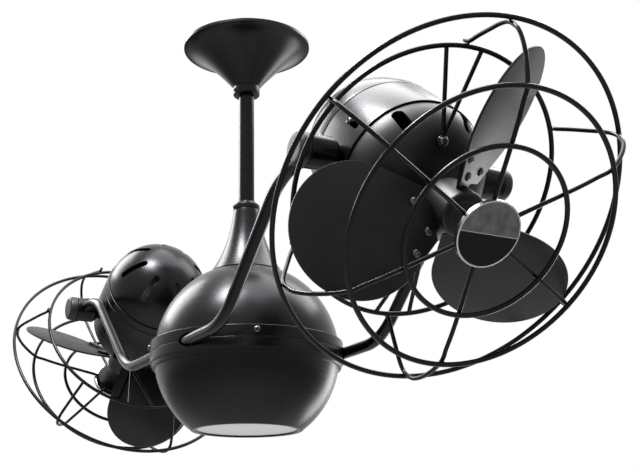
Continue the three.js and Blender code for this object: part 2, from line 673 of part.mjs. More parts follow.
function motorFrontDome() {
  const steps = 5;
  const start = MOTOR.bandEnd + FIT_GAP;
  const outside = [];
  for (let step = 0; step <= steps; step += 1) {
    const along = start + (NOSE.end - start) * Math.sin((Math.PI / 2) * (step / steps));
    outside.push([noseRadius(along), along]);
  }
  const inside = outside
    .filter((point, step) => step !== 1 && step !== 3)
    .map(([radius, along]) => [radius - MOTOR.wall, along - MOTOR.wall * 0.9]);
  inside[0][1] = start;
  const shaftHole = SHAFT.radius + NOSE.shaftRoom;
  const shell = revolveAlongX([
    ...outside,
    [shaftHole, NOSE.end],
    [shaftHole, NOSE.end - MOTOR.wall],
    ...inside.reverse(),
  ], MOTOR_SIDES);
  const cutters = [];
  const slotAlong = MOTOR.bandEnd + FRONT_SLOT.ahead;
  for (let index = 0; index < FRONT_SLOT.count; index += 1) {
    const cutter = slotCutter(FRONT_SLOT.width, FRONT_SLOT.length, FRONT_SLOT.depth)
      .rotate([0, 0, FRONT_SLOT.slope])
      .translate([slotAlong, noseRadius(slotAlong) - FRONT_SLOT.sunk, 0])
      .rotate([(360 / FRONT_SLOT.count) * index + FRONT_SLOT.clock, 0, 0]);
    cutters.push(cutter);
  }
  const studs = BRACE.angles.map((angle) => (
    atBrace(rod(EYELET_STUD.radius, -2 * MOTOR.wall, EYELET.height + EYELET_STUD.proud, 6), angle)
  ));
  return joined([shell.subtract(joined(cutters)), ...studs]);
}

/** Places something made along +Z on the front dome's surface, square to it, at a brace's angle. */
function atBrace(body, angle) {
  const { along, tilt } = braceFoot();
  return body.rotate([0, tilt, 0]).translate([along, 0, BRACE_RADIUS]).rotate([angle - 90, 0, 0]);
}

/** Where the dome's surface is at the eyelets, and the angle of its normal to the radial line. */
function braceFoot() {
  const depth = NOSE.end - MOTOR.bandEnd;
  const rise = DOME_RADIUS - NOSE.radius;
  const riseShare = (BRACE_RADIUS - NOSE.radius) / rise;
  const depthShare = Math.sqrt(1 - riseShare ** 2);
  const tilt = THREE.MathUtils.radToDeg(Math.atan2(depthShare / depth, riseShare / rise));
  return { along: MOTOR.bandEnd + depth * depthShare, tilt };
}

/** The trunnion: a pin through the case wall, with an inner flange and a round cap outside the knuckle. */
function trunnion(side) {
  const wallInner = FLANGE_SEAT - FIT_GAP;
  const capStart = KNUCKLE_OUTER + FIT_GAP;
  const capEnd = capStart + TRUNNION_CAP.length;
  const pin = revolveAlongY([
    [0, wallInner - TRUNNION.flangeLength],
    [TRUNNION.flange, wallInner - TRUNNION.flangeLength],
    [TRUNNION.flange, wallInner],
    [TRUNNION.radius, wallInner],
    [TRUNNION.radius, capStart],
    [TRUNNION_CAP.radius, capStart],
    [TRUNNION_CAP.radius, capEnd - TRUNNION_CAP.chamfer],
    [TRUNNION_CAP.radius - TRUNNION_CAP.chamfer, capEnd],
    [0, capEnd],
  ], TRUNNION.facets);
  return pin.scale([1, side, 1]);
}

/** The motor's fixed winding pack, held in the band between the trunnion flanges and the front. */
function stator() {
  const outer = SHELL_INNER - FIT_GAP;
  const pinRoom = TRUNNION.flange + STATOR.pinRoom;
  const from = MOTOR.bandStart + STATOR.back;
  const waist = FLANGE_SEAT - TRUNNION.flangeLength - STATOR.pinRoom;
  return revolveAlongX([
    [STATOR.bore, from],
    [outer, from],
    [outer, -pinRoom],
    [waist, -pinRoom],
    [waist, STATOR_FRONT],
    [STATOR.bore, STATOR_FRONT],
  ], MOTOR_SIDES);
}

function rotorShaft() {
  const journal = STATOR.bore - RUN_GAP - (STATOR.bore - flatRadius(STATOR.bore, MOTOR_SIDES)) * 2;
  return revolveAlongX([
    [0, -SHAFT.tail],
    [SHAFT.radius, -SHAFT.tail],
    [journal, -SHAFT.tail + SHAFT.taper],
    [journal, STATOR_FRONT],
    [SHAFT.radius, STATOR_FRONT + SHAFT.radius / 2],
    [SHAFT.radius, SHAFT.front],
    [0, SHAFT.front],
  ], 16);
}

function bladePlace(body, index, clock) {
  return body
    .rotate([0, BLADE_SET.pitch, 0])
    .translate([BLADE_SET.plane, 0, 0])
    .rotate([clock + (360 / BLADE.count) * index, 0, 0]);
}

/** An iron: a plate behind a blade, with a bar from the hub to the pad of each of its screws. */
function iron() {
  const parts = [];
  for (const [out, across] of IRON_PADS) {
    const reach = Math.hypot(out - IRON.inner, across);
    const arm = new THREE.BoxGeometry(IRON.thickness, reach, IRON.width);
    arm.translate(0, reach / 2, 0);
    arm.rotateX(Math.atan2(across, out - IRON.inner));
    arm.translate(0, IRON.inner, 0);
    const half = IRON.thickness / 2;
    const pad = rod(IRON.pad, -half, half, 10).rotate([0, 90, 0]).translate([0, out, across]);
    parts.push(solid(arm), pad);
  }
  return joined(parts).translate([-(BLADE.thickness + IRON.thickness) / 2 - FIT_GAP, 0, 0]);
}

/** The hub on the shaft, with an iron for each blade. */
function hub(clock) {
  const boss = revolveAlongX([
    [SHAFT.radius + FIT_GAP, HUB.start],
    [HUB.boss, HUB.start],
    [HUB.radius, HUB.start + HUB.cone],
    [HUB.radius, HUB.end - HUB.chamfer],
    [HUB.radius - HUB.chamfer, HUB.end],
    [0, HUB.end],
    [0, SHAFT.front + FIT_GAP],
    [SHAFT.radius + FIT_GAP, SHAFT.front + FIT_GAP],
  ], 16);
  const irons = [];
  for (let index = 0; index < BLADE.count; index += 1) irons.push(bladePlace(iron(), index, clock));
  return joined([boss, ...irons]);
}

/** A round paddle with a narrower root, turned to its pitch. */
function blade(index, clock) {
  const paddle = arc([0, BLADE.centre], BLADE.paddle, -BLADE_SET.shoulder, 180 + BLADE_SET.shoulder, 14);
  const outline = [[BLADE.rootHalf, BLADE.root], ...paddle, [-BLADE.rootHalf, BLADE.root]];
  const shape = new THREE.Shape(outline.map(([x, y]) => new THREE.Vector2(x, y)));
  const geometry = new THREE.ExtrudeGeometry(shape, {
    depth: BLADE.thickness,
    steps: 1,
    bevelEnabled: false,
  });
  geometry.translate(0, 0, -BLADE.thickness / 2);
  geometry.rotateY(Math.PI / 2);
  return bladePlace(solid(geometry), index, clock);
}

// ---------------------------------------------------------------- cage
/** A round ring of wire, with a corner of its facets where each crossing wire meets it. */
function ring(which, clock) {
  const place = RINGS[which];
  const geometry = new THREE.TorusGeometry(place.radius, RING_WIRE, 5, RING_FACETS[which]);
  geometry.rotateY(Math.PI / 2);
  geometry.rotateX(Math.PI / 2 + radians(clock));
  geometry.translate(place.along, 0, 0);
  return solid(geometry);
}

const WELD = RING_WIRE + CAGE_WIRE + FIT_GAP; // centre to centre, where a wire passes a ring

/** A point between two others of a profile, at its own share of the way across and along. */
function between(from, to, across, along) {
  return [from[0] + (to[0] - from[0]) * across, from[1] + (to[1] - from[1]) * along];
}

/** Stations of a cage wire in its own half plane: [distance from the axis, place along it]. */
function wireProfile() {
  const { rear, outer, middle, inner } = RINGS;
  const face = inner.along - WELD;
  const shoulder = [middle.radius - WELD * 0.3, middle.along - WELD * 0.98];
  const apex = [outer.radius - WELD, outer.along + WIRE.apexForward];
  const side = [apex[0], apex[1] - WIRE.straight];
  const back = [rear.radius + WELD * 1.06, rear.along + WELD * 0.2];
  return [
    [PLATE.radius / 2, face],
    [inner.radius, face],
    [shoulder[0] - 12, shoulder[1] + 0.9],
    shoulder,
    between(shoulder, apex, 0.36, 0.2),
    between(shoulder, apex, 0.7, 0.48),
    between(shoulder, apex, 0.93, 0.77),
    apex,
    side,
    between(side, back, 0.15, 0.22),
    between(side, back, 0.4, 0.46),
    between(side, back, 0.72, 0.76),
    back,
    [back[0] - 1, back[1] - WIRE.stub],
  ];
}

/** The six wires that cross the rings, welded to a small plate in the middle. */
function wireBasket(clock) {
  const stations = wireProfile().map(([across, along]) => new THREE.Vector3(along, across, 0));
  const wires = [];
  for (let index = 0; index < WIRE.count; index += 1) {
    wires.push(bar(stations, CAGE_WIRE, 5).rotate([clock + (360 / WIRE.count) * index, 0, 0]));
  }
  const back = RINGS.inner.along - WELD - PLATE.thickness / 2;
  const plate = rod(PLATE.radius, back, back + PLATE.thickness).rotate([0, 90, 0]);
  return joined([plate, ...wires]);
}

function badge() {
  const back = RINGS.inner.along - WELD + PLATE.thickness / 2 + FIT_GAP;
  const front = back + BADGE.thickness;
  return revolveAlongX([
    [0, back],
    [BADGE.radius, back],
    [BADGE.radius, front - BADGE.edge],
    [BADGE.radius - BADGE.edge, front],
    [0, front],
  ], MOTOR_SIDES);
}

/** The rear ring with its V braces, whose eyelets sit on studs of the front dome. */
function rearRing(clock) {
  const parts = [ring('rear', clock)];
  const { along, tilt } = braceFoot();
  const lift = FIT_GAP + EYELET.height / 2;
  const weld = EYELET.radius * 0.75; // the legs run a quarter of the way into the eyelet's wall
  for (const angle of BRACE.angles) {
    const centre = radians(angle);
    const foot = new THREE.Vector3(
      along + lift * Math.sin(radians(tilt)),
      0,
      BRACE_RADIUS + lift * Math.cos(radians(tilt)) + weld,
    ).applyAxisAngle(new THREE.Vector3(1, 0, 0), centre - Math.PI / 2);
    for (const side of [1, -1]) {
      const end = centre + radians(side * BRACE.spread - BRACE.lean);
      const top = new THREE.Vector3(
        RINGS.rear.along,
        RINGS.rear.radius * Math.cos(end),
        RINGS.rear.radius * Math.sin(end),
      );
      parts.push(bar([foot, top], CAGE_WIRE, 4));
    }
    const eyelet = tubeProfile(EYELET.bore, EYELET.radius, FIT_GAP, FIT_GAP + EYELET.height);
    parts.push(atBrace(revolve(eyelet, EYELET.facets), angle));
  }
  const bore = rod(EYELET.bore, -1, 3 * EYELET.height, EYELET.facets);
  return joined(parts).subtract(joined(BRACE.angles.map((angle) => atBrace(bore, angle))));
}

// ---------------------------------------------------------------- assembly
const fan = new THREE.Group();

fan.add(
  piece('ceiling_bracket', ceilingBracket(), 'darkSteel'),
  piece('hanger_ball', hangerBall(), 'darkSteel'),
  piece('canopy', canopyShell(), 'satinBlack'),
  piece('canopy_collar', canopyCollar(), 'satinBlack'),
  piece('canopy_collar_screw', setScrew(CANOPY_SCREW_Z, CANOPY_COLLAR.radius), 'darkSteel'),
  piece('downrod', downrod(), 'satinBlack'),
  piece('neck_collar', neckCollar(), 'satinBlack'),
  piece('neck_collar_screw', setScrew(NECK_SCREW_Z, NECK_COLLAR.radius), 'darkSteel'),
  piece('neck', neckShell(), 'satinBlack'),
  piece('spindle', spindle(), 'darkSteel'),
);

const globe = new THREE.Group();
globe.add(
  piece('globe_upper_shell', upperShell(), 'satinBlack'),
  piece('globe_lower_shell', lowerShell(), 'satinBlack'),
  piece('arm_carrier', armCarrier(), 'darkSteel'),
  piece('spindle_bearing', spindleBearing(), 'brushedSteel'),
  piece('lens_ring', lensRing(), 'satinBlack'),
  piece('lens', lensDisc(), 'frostedWhite'),
  piece('lamp_holder', lampHolder(), 'whiteCeramic'),
  piece('lamp_bulb', lampBulb(), 'frostedWhite'),
);
for (let index = 0; index < BAND_SCREW.count; index += 1) {
  globe.add(piece(`band_screw_${index + 1}`, bandScrew(index), 'brushedSteel'));
}
for (const [endName, end] of [['right', 1], ['left', -1]]) {
  for (const [sideName, side] of [['front', -1], ['back', 1]]) {
    globe.add(piece(`arm_${endName}_${sideName}`, arm(end, side), 'satinBlack'));
  }
}
fan.add(globe);

/** One fan head at rest, on its tilt axis. */
function fanHead(name) {
  const head = new THREE.Group();
  head.add(
    piece(`${name}_motor_rear_dome`, motorRearDome(), 'satinBlack'),
    piece(`${name}_motor_band`, motorBand(), 'satinBlack'),
    piece(`${name}_motor_front_dome`, motorFrontDome(), 'satinBlack'),
    piece(`${name}_stator`, stator(), 'copper'),
    piece(`${name}_trunnion_1`, trunnion(-1), 'satinBlack'),
    piece(`${name}_trunnion_2`, trunnion(1), 'satinBlack'),
    piece(`${name}_rotor_shaft`, rotorShaft(), 'brushedSteel'),
    piece(`${name}_hub`, hub(BLADE_CLOCK[name]), 'satinBlack'),
    piece(`${name}_ring_rear`, rearRing(WIRE_CLOCK[name]), 'wireBlack'),
    piece(`${name}_ring_outer`, ring('outer', WIRE_CLOCK[name]), 'wireBlack'),
    piece(`${name}_ring_middle`, ring('middle', WIRE_CLOCK[name]), 'wireBlack'),
    piece(`${name}_ring_inner`, ring('inner', WIRE_CLOCK[name]), 'wireBlack'),
    piece(`${name}_wire_basket`, wireBasket(WIRE_CLOCK[name]), 'wireBlack'),
    piece(`${name}_badge`, badge(), 'brushedSteel'),
  );
  for (let index = 0; index < BLADE.count; index += 1) {
    head.add(piece(`${name}_blade_${index + 1}`, blade(index, BLADE_CLOCK[name]), 'bladeBlack'));
  }
  head.rotation.y = radians(TILT[name]);
  return head;
}

for (const [name, turn] of [['right', 0], ['left', Math.PI]]) {
  const end = new THREE.Group();
  end.add(fanHead(name));
  end.position.set(PIVOT.reach * Math.cos(turn), 0, GLOBE_CENTRE + PIVOT.rise);
  end.rotation.z = turn;
  fan.add(end);
}

export default fan;
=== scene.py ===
"""Looks of a twin head ceiling fan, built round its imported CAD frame.

Sizes are millimetres in the frame's own axes: +Z up, the two heads along X, their tilt axes along Y.
A mesh is made in millimetres and turned to metres as it becomes an object. Things on a head are made
along its own axis, and the head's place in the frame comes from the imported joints.
"""

from __future__ import annotations

import json
import logging
import math
from dataclasses import dataclass
from enum import Enum
from typing import Any, Iterable, Sequence

import bmesh
import bpy
from mathutils import Matrix, Vector


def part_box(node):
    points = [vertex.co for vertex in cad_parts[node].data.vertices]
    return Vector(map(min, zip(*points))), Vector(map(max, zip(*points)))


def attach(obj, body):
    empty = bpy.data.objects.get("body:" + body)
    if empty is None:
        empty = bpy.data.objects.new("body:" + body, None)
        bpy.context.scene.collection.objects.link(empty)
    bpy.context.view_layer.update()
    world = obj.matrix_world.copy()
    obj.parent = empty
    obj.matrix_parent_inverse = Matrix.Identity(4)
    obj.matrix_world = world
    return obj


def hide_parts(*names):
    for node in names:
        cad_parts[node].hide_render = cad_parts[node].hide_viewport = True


LOG = logging.getLogger("twin_head_fan")
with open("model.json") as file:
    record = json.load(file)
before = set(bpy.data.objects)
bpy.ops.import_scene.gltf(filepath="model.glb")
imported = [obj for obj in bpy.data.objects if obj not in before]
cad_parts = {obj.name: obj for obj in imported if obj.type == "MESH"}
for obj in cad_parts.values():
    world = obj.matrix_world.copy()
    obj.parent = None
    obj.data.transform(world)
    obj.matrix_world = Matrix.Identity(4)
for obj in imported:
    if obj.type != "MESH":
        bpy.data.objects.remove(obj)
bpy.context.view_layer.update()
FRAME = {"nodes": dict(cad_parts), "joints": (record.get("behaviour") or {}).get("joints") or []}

MM = 0.001
GAP = 0.3  # between fixed pieces that touch
RUN_GAP = 0.45  # between pieces that turn in each other
TINY = 1e-6  # a length that counts as nothing, in millimetres
MERGED = 1e-7  # points this near to each other become one, in metres
SHARP = 35.0  # degrees between two faces, past which their edge is sharp
NEARLY_STRAIGHT = 88.0  # half of a corner's angle in degrees, past which it isn't rounded
CORNER_SHARE = 0.49  # the most of an edge that the round corner at one end of it takes up
Profile = list[tuple[float, float]]


# ------------------------------------------------------------------ small geometry helpers
class Axis(Enum):
    """The direction a turned shape is made along."""

    X = Matrix(((0, 0, 1), (0, 1, 0), (-1, 0, 0))).to_4x4()
    Y = Matrix(((1, 0, 0), (0, 0, 1), (0, -1, 0))).to_4x4()
    Z = Matrix.Identity(4)


def at(x: float = 0, y: float = 0, z: float = 0) -> Matrix:
    """A place moved by millimetres."""
    return Matrix.Translation((x, y, z))


def turned(degrees: float, axis: str) -> Matrix:
    """A place turned about one of the frame's axes."""
    return Matrix.Rotation(math.radians(degrees), 4, axis)


def evenly_turned(count: int, clock: float) -> list[Matrix]:
    """Turns about the X axis at even steps, from a first one in degrees."""
    return [turned(360 / count * index + clock, "X") for index in range(count)]


def arc(centre: tuple[float, float], radius: float, start: float, end: float, steps: int) -> Profile:
    """Points along an arc of a circle.

    Args:
        centre: the circle's middle.
        radius: the circle's radius.
        start: the first point's angle, in degrees.
        end: the last point's angle, in degrees.
        steps: how many chords the arc is cut to.

    Returns:
        The points, both ends included.
    """
    angles = [math.radians(start + (end - start) * step / steps) for step in range(steps + 1)]
    return [(centre[0] + radius * math.cos(a), centre[1] + radius * math.sin(a)) for a in angles]


def on_sphere(radius: float, distance: float) -> float:
    """The other leg of the right triangle from a sphere's middle to its surface."""
    return math.sqrt(radius * radius - distance * distance)


def rounded(corners: Sequence[tuple[float, ...]], steps: int = 4) -> Profile:
    """Rounds the corners of a closed outline.

    Args:
        corners: points as (across, along) or (across, along, corner radius).
        steps: chords in each round corner.

    Returns:
        The outline with its corners as arcs.
    """
    outline: Profile = []
    count = len(corners)
    for index, corner in enumerate(corners):
        here = Vector(corner[:2])
        radius = corner[2] if len(corner) > 2 else 0.0
        back = Vector(corners[index - 1][:2]) - here
        ahead = Vector(corners[(index + 1) % count][:2]) - here
        half = back.angle(ahead, math.pi) / 2
        shorter = min(back.length, ahead.length)
        if radius <= 0 or shorter < TINY or half > math.radians(NEARLY_STRAIGHT):
            outline.append((here.x, here.y))
            continue
        reach = min(radius / math.tan(half), shorter * CORNER_SHARE)
        first, last = here + back.normalized() * reach, here + ahead.normalized() * reach
        for step in range(steps + 1):
            share = step / steps
            weight = 2 * share * (1 - share)
            point = first * (1 - share) ** 2 + here * weight + last * share**2
            outline.append((point.x, point.y))
    return outline


class Shape:
    """A mesh in the making: points and faces, in millimetres."""

    def __init__(self) -> None:
        """Starts with nothing in it."""
        self.points: list[Vector] = []
        self.faces: list[tuple[int, ...]] = []

    def lathe(
        self, profile: Profile, sides: int = 96, axis: Axis = Axis.Z, place: Matrix | None = None
    ) -> Shape:
        """Adds a turned solid.

        Args:
            profile: a closed outline of (radius, along) points, or one that starts and ends on the axis.
            sides: how many facets go round.
            axis: the direction it is turned about.
            place: where it goes.

        Returns:
            This shape.
        """
        move = (place or Matrix.Identity(4)) @ axis.value
        rings: list[list[int]] = []
        for radius, along in profile:
            reach = max(radius, 0)
            ring = []
            for side in range(1 if radius < TINY else sides):
                angle = 2 * math.pi * side / sides
                ring.append(len(self.points))
                self.points.append(move @ Vector((reach * math.cos(angle), reach * math.sin(angle), along)))
            rings.append(ring)
        closed = profile[0][0] >= TINY or profile[-1][0] >= TINY
        for index in range(len(rings) if closed else len(rings) - 1):
            self._join(rings[index], rings[(index + 1) % len(rings)], sides)
        return self

    def _join(self, low: list[int], high: list[int], sides: int) -> None:
        """Fills the faces between two neighbouring rings of a lathe.

        Args:
            low: the first ring's points, or its one point on the axis.
            high: the next ring's.
            sides: how many facets go round.
        """
        if len(low) == 1 and len(high) == 1:
            return
        for side in range(sides):
            after = (side + 1) % sides
            if len(low) == 1:
                self.faces.append((low[0], high[after], high[side]))
            elif len(high) == 1:
                self.faces.append((low[side], low[after], high[0]))
            else:
                self.faces.append((low[side], low[after], high[after], high[side]))

    def prism(self, outline: Profile, low: float, high: float, place: Matrix | None = None) -> Shape:
        """Adds a flat outline raised along Z between two heights.

        Args:
            outline: its points as (x, y), anticlockwise.
            low: the lower height.
            high: the upper height.
            place: where it goes.

        Returns:
            This shape.
        """
        move = place or Matrix.Identity(4)
        start, count = len(self.points), len(outline)
        for height in (low, high):
            self.points.extend(move @ Vector((x, y, height)) for x, y in outline)
        self.faces.append(tuple(range(start + count - 1, start - 1, -1)))
        self.faces.append(tuple(range(start + count, start + 2 * count)))
        for index in range(count):
            after = (index + 1) % count
            self.faces.append((start + index, start + after, start + count + after, start + count + index))
        return self

    def to_object(self, name: str, place: Matrix | None = None, sharp: float = SHARP) -> bpy.types.Object:
        """Makes the object, in metres, with smooth shading between faces that meet at a flat angle.

        Args:
            name: the object's name.
            place: where the shape goes in the frame, in millimetres.
            sharp: the angle past which an edge is sharp, in degrees.

        Returns:
            The new object, at the origin.
        """
        mesh = bpy.data.meshes.new(name)
        move = place or Matrix.Identity(4)
        mesh.from_pydata([(move @ point) * MM for point in self.points], [], self.faces)
        work = bmesh.new()
        work.from_mesh(mesh)
        bmesh.ops.remove_doubles(work, verts=work.verts, dist=MERGED)
        bmesh.ops.recalc_face_normals(work, faces=work.faces)
        work.to_mesh(mesh)
        work.free()
        shade(mesh, sharp)
        made = bpy.data.objects.new(name, mesh)
        bpy.context.scene.collection.objects.link(made)
        return made


def shade(mesh: bpy.types.Mesh, sharp: float) -> None:
    """Shades a mesh smooth, apart from edges sharper than an angle in degrees."""
    mesh.shade_smooth()
    mesh.set_sharp_from_angle(angle=math.radians(sharp))


def path_object(name: str, paths: Iterable[Sequence[Vector]], closed: bool = False) -> bpy.types.Object:
    """Makes an object of bare edges, for a bar to follow, in metres.

    Args:
        name: the object's name.
        paths: one list of points, in millimetres, for each stretch.
        closed: whether each path ends where it starts.

    Returns:
        The new object.
    """
    points: list[Vector] = []
    edges: list[tuple[int, int]] = []
    for path in paths:
        start = len(points)
        points.extend(point * MM for point in path)
        edges.extend((start + i, start + i + 1) for i in range(len(path) - 1))
        if closed:
            edges.append((len(points) - 1, start))
    mesh = bpy.data.meshes.new(name)
    mesh.from_pydata(points, edges, [])
    made = bpy.data.objects.new(name, mesh)
    bpy.context.scene.collection.objects.link(made)
    return made


def places_object(name: str, places: Iterable[Matrix]) -> bpy.types.Object:
    """Makes an object of bare points that say where copies go and how they are turned.

    Args:
        name: the object's name.
        places: the copies' places, in millimetres.

    Returns:
        The new object.
    """
    places = list(places)
    mesh = bpy.data.meshes.new(name)
    mesh.from_pydata([place.translation * MM for place in places], [], [])
    turn = mesh.attributes.new("turn", "FLOAT_VECTOR", "POINT")
    turn.data.foreach_set("vector", [angle for place in places for angle in place.to_euler("XYZ")])
    made = bpy.data.objects.new(name, mesh)
    bpy.context.scene.collection.objects.link(made)
    return made


# ------------------------------------------------------------------ node trees
def add_node(
    tree: bpy.types.NodeTree,
    kind: str,
    settings: dict[str, Any] | None = None,
    values: dict[str | int, Any] | None = None,
    links: dict[str | int, bpy.types.NodeSocket] | None = None,
) -> bpy.types.Node:
    """Adds a node with its settings, its sockets' values and what feeds them.

    Args:
        tree: the tree that the node goes in.
        kind: the node's type.
        settings: the node's own properties.
        values: numbers and colours of its inputs, by name or number.
        links: other nodes' outputs that feed its inputs, by name or number.

    Returns:
        The new node.
    """
    node = tree.nodes.new(kind)
    for name, value in (settings or {}).items():
        setattr(node, name, value)
    for name, value in (values or {}).items():
        node.inputs[name].default_value = value
    for name, source in (links or {}).items():
        tree.links.new(source, node.inputs[name])
    return node


class Tree:
    """A Geometry Nodes tree with named inputs, which ends in Realize Instances and Set Material."""

    BEND_STEPS = 14  # chords in each bend of a bar

    def __init__(self, name: str, inputs: Sequence[tuple[str, str]]) -> None:
        """Makes the tree's group with its geometry in and out, its named inputs and its material.

        Args:
            name: the tree's name.
            inputs: the name and the socket type of each of its inputs.
        """
        self.group = bpy.data.node_groups.new(name, "GeometryNodeTree")
        face = self.group.interface
        face.new_socket(name="Geometry", in_out="INPUT", socket_type="NodeSocketGeometry")
        for label, kind in (*inputs, ("Material", "NodeSocketMaterial")):
            face.new_socket(name=label, in_out="INPUT", socket_type=kind)
        face.new_socket(name="Geometry", in_out="OUTPUT", socket_type="NodeSocketGeometry")
        self.source = add_node(self.group, "NodeGroupInput").outputs

    def add(self, kind: str, **parts: dict[Any, Any]) -> bpy.types.NodeOutputs:
        """Adds a node to this tree and gives its outputs."""
        return add_node(self.group, kind, **parts).outputs

    def close(self, result: bpy.types.NodeSocket) -> Tree:
        """Joins the result to the tree's output, as plain geometry with its material.

        Args:
            result: what the tree makes, which may still hold instances.

        Returns:
            This tree.
        """
        real = self.add("GeometryNodeRealizeInstances", links={0: result})
        dressed = self.add(
            "GeometryNodeSetMaterial", links={"Geometry": real[0], "Material": self.source["Material"]}
        )
        add_node(self.group, "NodeGroupOutput", links={0: dressed[0]})
        return self

    def run(self, target: bpy.types.Object, **inputs: Any) -> None:
        """Turns an object into what the tree makes of it, as a plain mesh.

        Args:
            target: the object that the tree works on.
            inputs: the tree's inputs, by name with _ for a space.
        """
        modifier = target.modifiers.new(self.group.name, "NODES")
        modifier.node_group = self.group
        wanted = {key.replace("_", " ").lower(): value for key, value in inputs.items()}
        for item in self.group.interface.items_tree:
            if item.in_out == "INPUT" and item.name.lower() in wanted:
                modifier[item.identifier] = wanted[item.name.lower()]
        bpy.context.view_layer.update()
        graph = bpy.context.evaluated_depsgraph_get()
        mesh = bpy.data.meshes.new_from_object(target.evaluated_get(graph), depsgraph=graph)
        target.modifiers.clear()
        target.data = mesh


def bar_tree() -> Tree:
    """A round bar along bare edges, with its corners bent to a radius.

    Returns:
        The tree.
    """
    tree = Tree(
        "round_bar",
        (("Radius", "NodeSocketFloat"), ("Bend", "NodeSocketFloat"), ("Sides", "NodeSocketInt")),
    )
    line = tree.add("GeometryNodeMeshToCurve", links={"Mesh": tree.source["Geometry"]})
    bent = tree.add(
        "GeometryNodeFilletCurve",
        settings={"mode": "POLY"},
        values={"Count": Tree.BEND_STEPS, "Limit Radius": True},
        links={"Curve": line[0], "Radius": tree.source["Bend"]},
    )
    section = tree.add(
        "GeometryNodeCurvePrimitiveCircle",
        links={"Resolution": tree.source["Sides"], "Radius": tree.source["Radius"]},
    )
    solid = tree.add(
        "GeometryNodeCurveToMesh",
        values={"Fill Caps": True},
        links={"Curve": bent[0], "Profile Curve": section[0]},
    )
    return tree.close(tree.add("GeometryNodeSetShadeSmooth", links={"Geometry": solid[0]})[0])


def smooth_wire_tree() -> Tree:
    """A round wire on a smooth curve through bare points.

    Returns:
        The tree.
    """
    tree = Tree(
        "smooth_wire",
        (("Radius", "NodeSocketFloat"), ("Stations", "NodeSocketInt"), ("Sides", "NodeSocketInt")),
    )
    line = tree.add("GeometryNodeMeshToCurve", links={"Mesh": tree.source["Geometry"]})
    curve = tree.add(
        "GeometryNodeCurveSplineType",
        settings={"spline_type": "CATMULL_ROM"},
        links={"Curve": line[0]},
    )
    fine = tree.add(
        "GeometryNodeResampleCurve",
        links={"Curve": curve[0], "Count": tree.source["Stations"]},
    )
    section = tree.add(
        "GeometryNodeCurvePrimitiveCircle",
        links={"Resolution": tree.source["Sides"], "Radius": tree.source["Radius"]},
    )
    solid = tree.add(
        "GeometryNodeCurveToMesh",
        values={"Fill Caps": True},
        links={"Curve": fine[0], "Profile Curve": section[0]},
    )
    return tree.close(tree.add("GeometryNodeSetShadeSmooth", links={"Geometry": solid[0]})[0])


def copies_tree() -> Tree:
    """Copies of one template at bare points, each turned as its point says.

    Returns:
        The tree.
    """
    tree = Tree("copies_at_places", (("Template", "NodeSocketObject"),))
    template = tree.add(
        "GeometryNodeObjectInfo",
        settings={"transform_space": "ORIGINAL"},
        links={"Object": tree.source["Template"]},
    )
    turn = tree.add(
        "GeometryNodeInputNamedAttribute",
        settings={"data_type": "FLOAT_VECTOR"},
        values={"Name": "turn"},
    )
    spread = tree.add(
        "GeometryNodeInstanceOnPoints",
        links={
            "Points": tree.source["Geometry"],
            "Instance": template["Geometry"],
            "Rotation": turn["Attribute"],
        },
    )
    return tree.close(spread[0])


def cut_tree() -> Tree:
    """A solid with another solid cut out of it.

    Returns:
        The tree.
    """
    tree = Tree("cut_out", (("Cutter", "NodeSocketObject"),))
    cutter = tree.add(
        "GeometryNodeObjectInfo",
        settings={"transform_space": "ORIGINAL"},
        links={"Object": tree.source["Cutter"]},
    )
    cut = tree.add(
        "GeometryNodeMeshBoolean",
        settings={"operation": "DIFFERENCE", "solver": "EXACT"},
        links={0: tree.source["Geometry"], 1: cutter["Geometry"]},
    )
    return tree.close(cut[0])


class Tool(Enum):
    """The node trees that make what repeats, follows a path or is cut."""

    BAR = bar_tree()
    WIRE = smooth_wire_tree()
    COPIES = copies_tree()
    CUT = cut_tree()


def copied(
    name: str, template: bpy.types.Object, places: Iterable[Matrix], paint: bpy.types.Material
) -> bpy.types.Object:
    """Copies of a template at a list of places, as one plain mesh; the template is taken away.

    Args:
        name: the new object's name.
        template: what is copied, made at the origin.
        places: where each copy goes, in millimetres.
        paint: its material.

    Returns:
        The copies' object.
    """
    made = places_object(name, places)
    Tool.COPIES.value.run(made, template=template, material=paint)
    bpy.data.objects.remove(template)
    return made


def cut(target: bpy.types.Object, cutter: bpy.types.Object, paint: bpy.types.Material) -> None:
    """Cuts one object out of another, and takes the cutter away.

    Args:
        target: the object that is cut.
        cutter: what is cut out of it.
        paint: the material of the result.
    """
    Tool.CUT.value.run(target, cutter=cutter, material=paint)
    bpy.data.objects.remove(cutter)
    shade(target.data, SHARP)


def joined(name: str, pieces: Sequence[bpy.types.Object]) -> bpy.types.Object:
    """Puts several objects' meshes into one new object.

    Args:
        name: its name.
        pieces: the objects, which are taken away, each with one material.

    Returns:
        The new object.
    """
    work = bmesh.new()
    materials: list[bpy.types.Material] = []
    for piece in pieces:
        first = len(work.faces)
        work.from_mesh(piece.data)
        work.faces.ensure_lookup_table()
        paint = piece.data.materials[0]
        if paint not in materials:
            materials.append(paint)
        for face in work.faces[first:]:
            face.material_index = materials.index(paint)
    mesh = bpy.data.meshes.new(name)
    work.to_mesh(mesh)
    work.free()
    for paint in materials:
        mesh.materials.append(paint)
    for piece in pieces:
        bpy.data.objects.remove(piece)
    made = bpy.data.objects.new(name, mesh)
    bpy.context.scene.collection.objects.link(made)
    return made


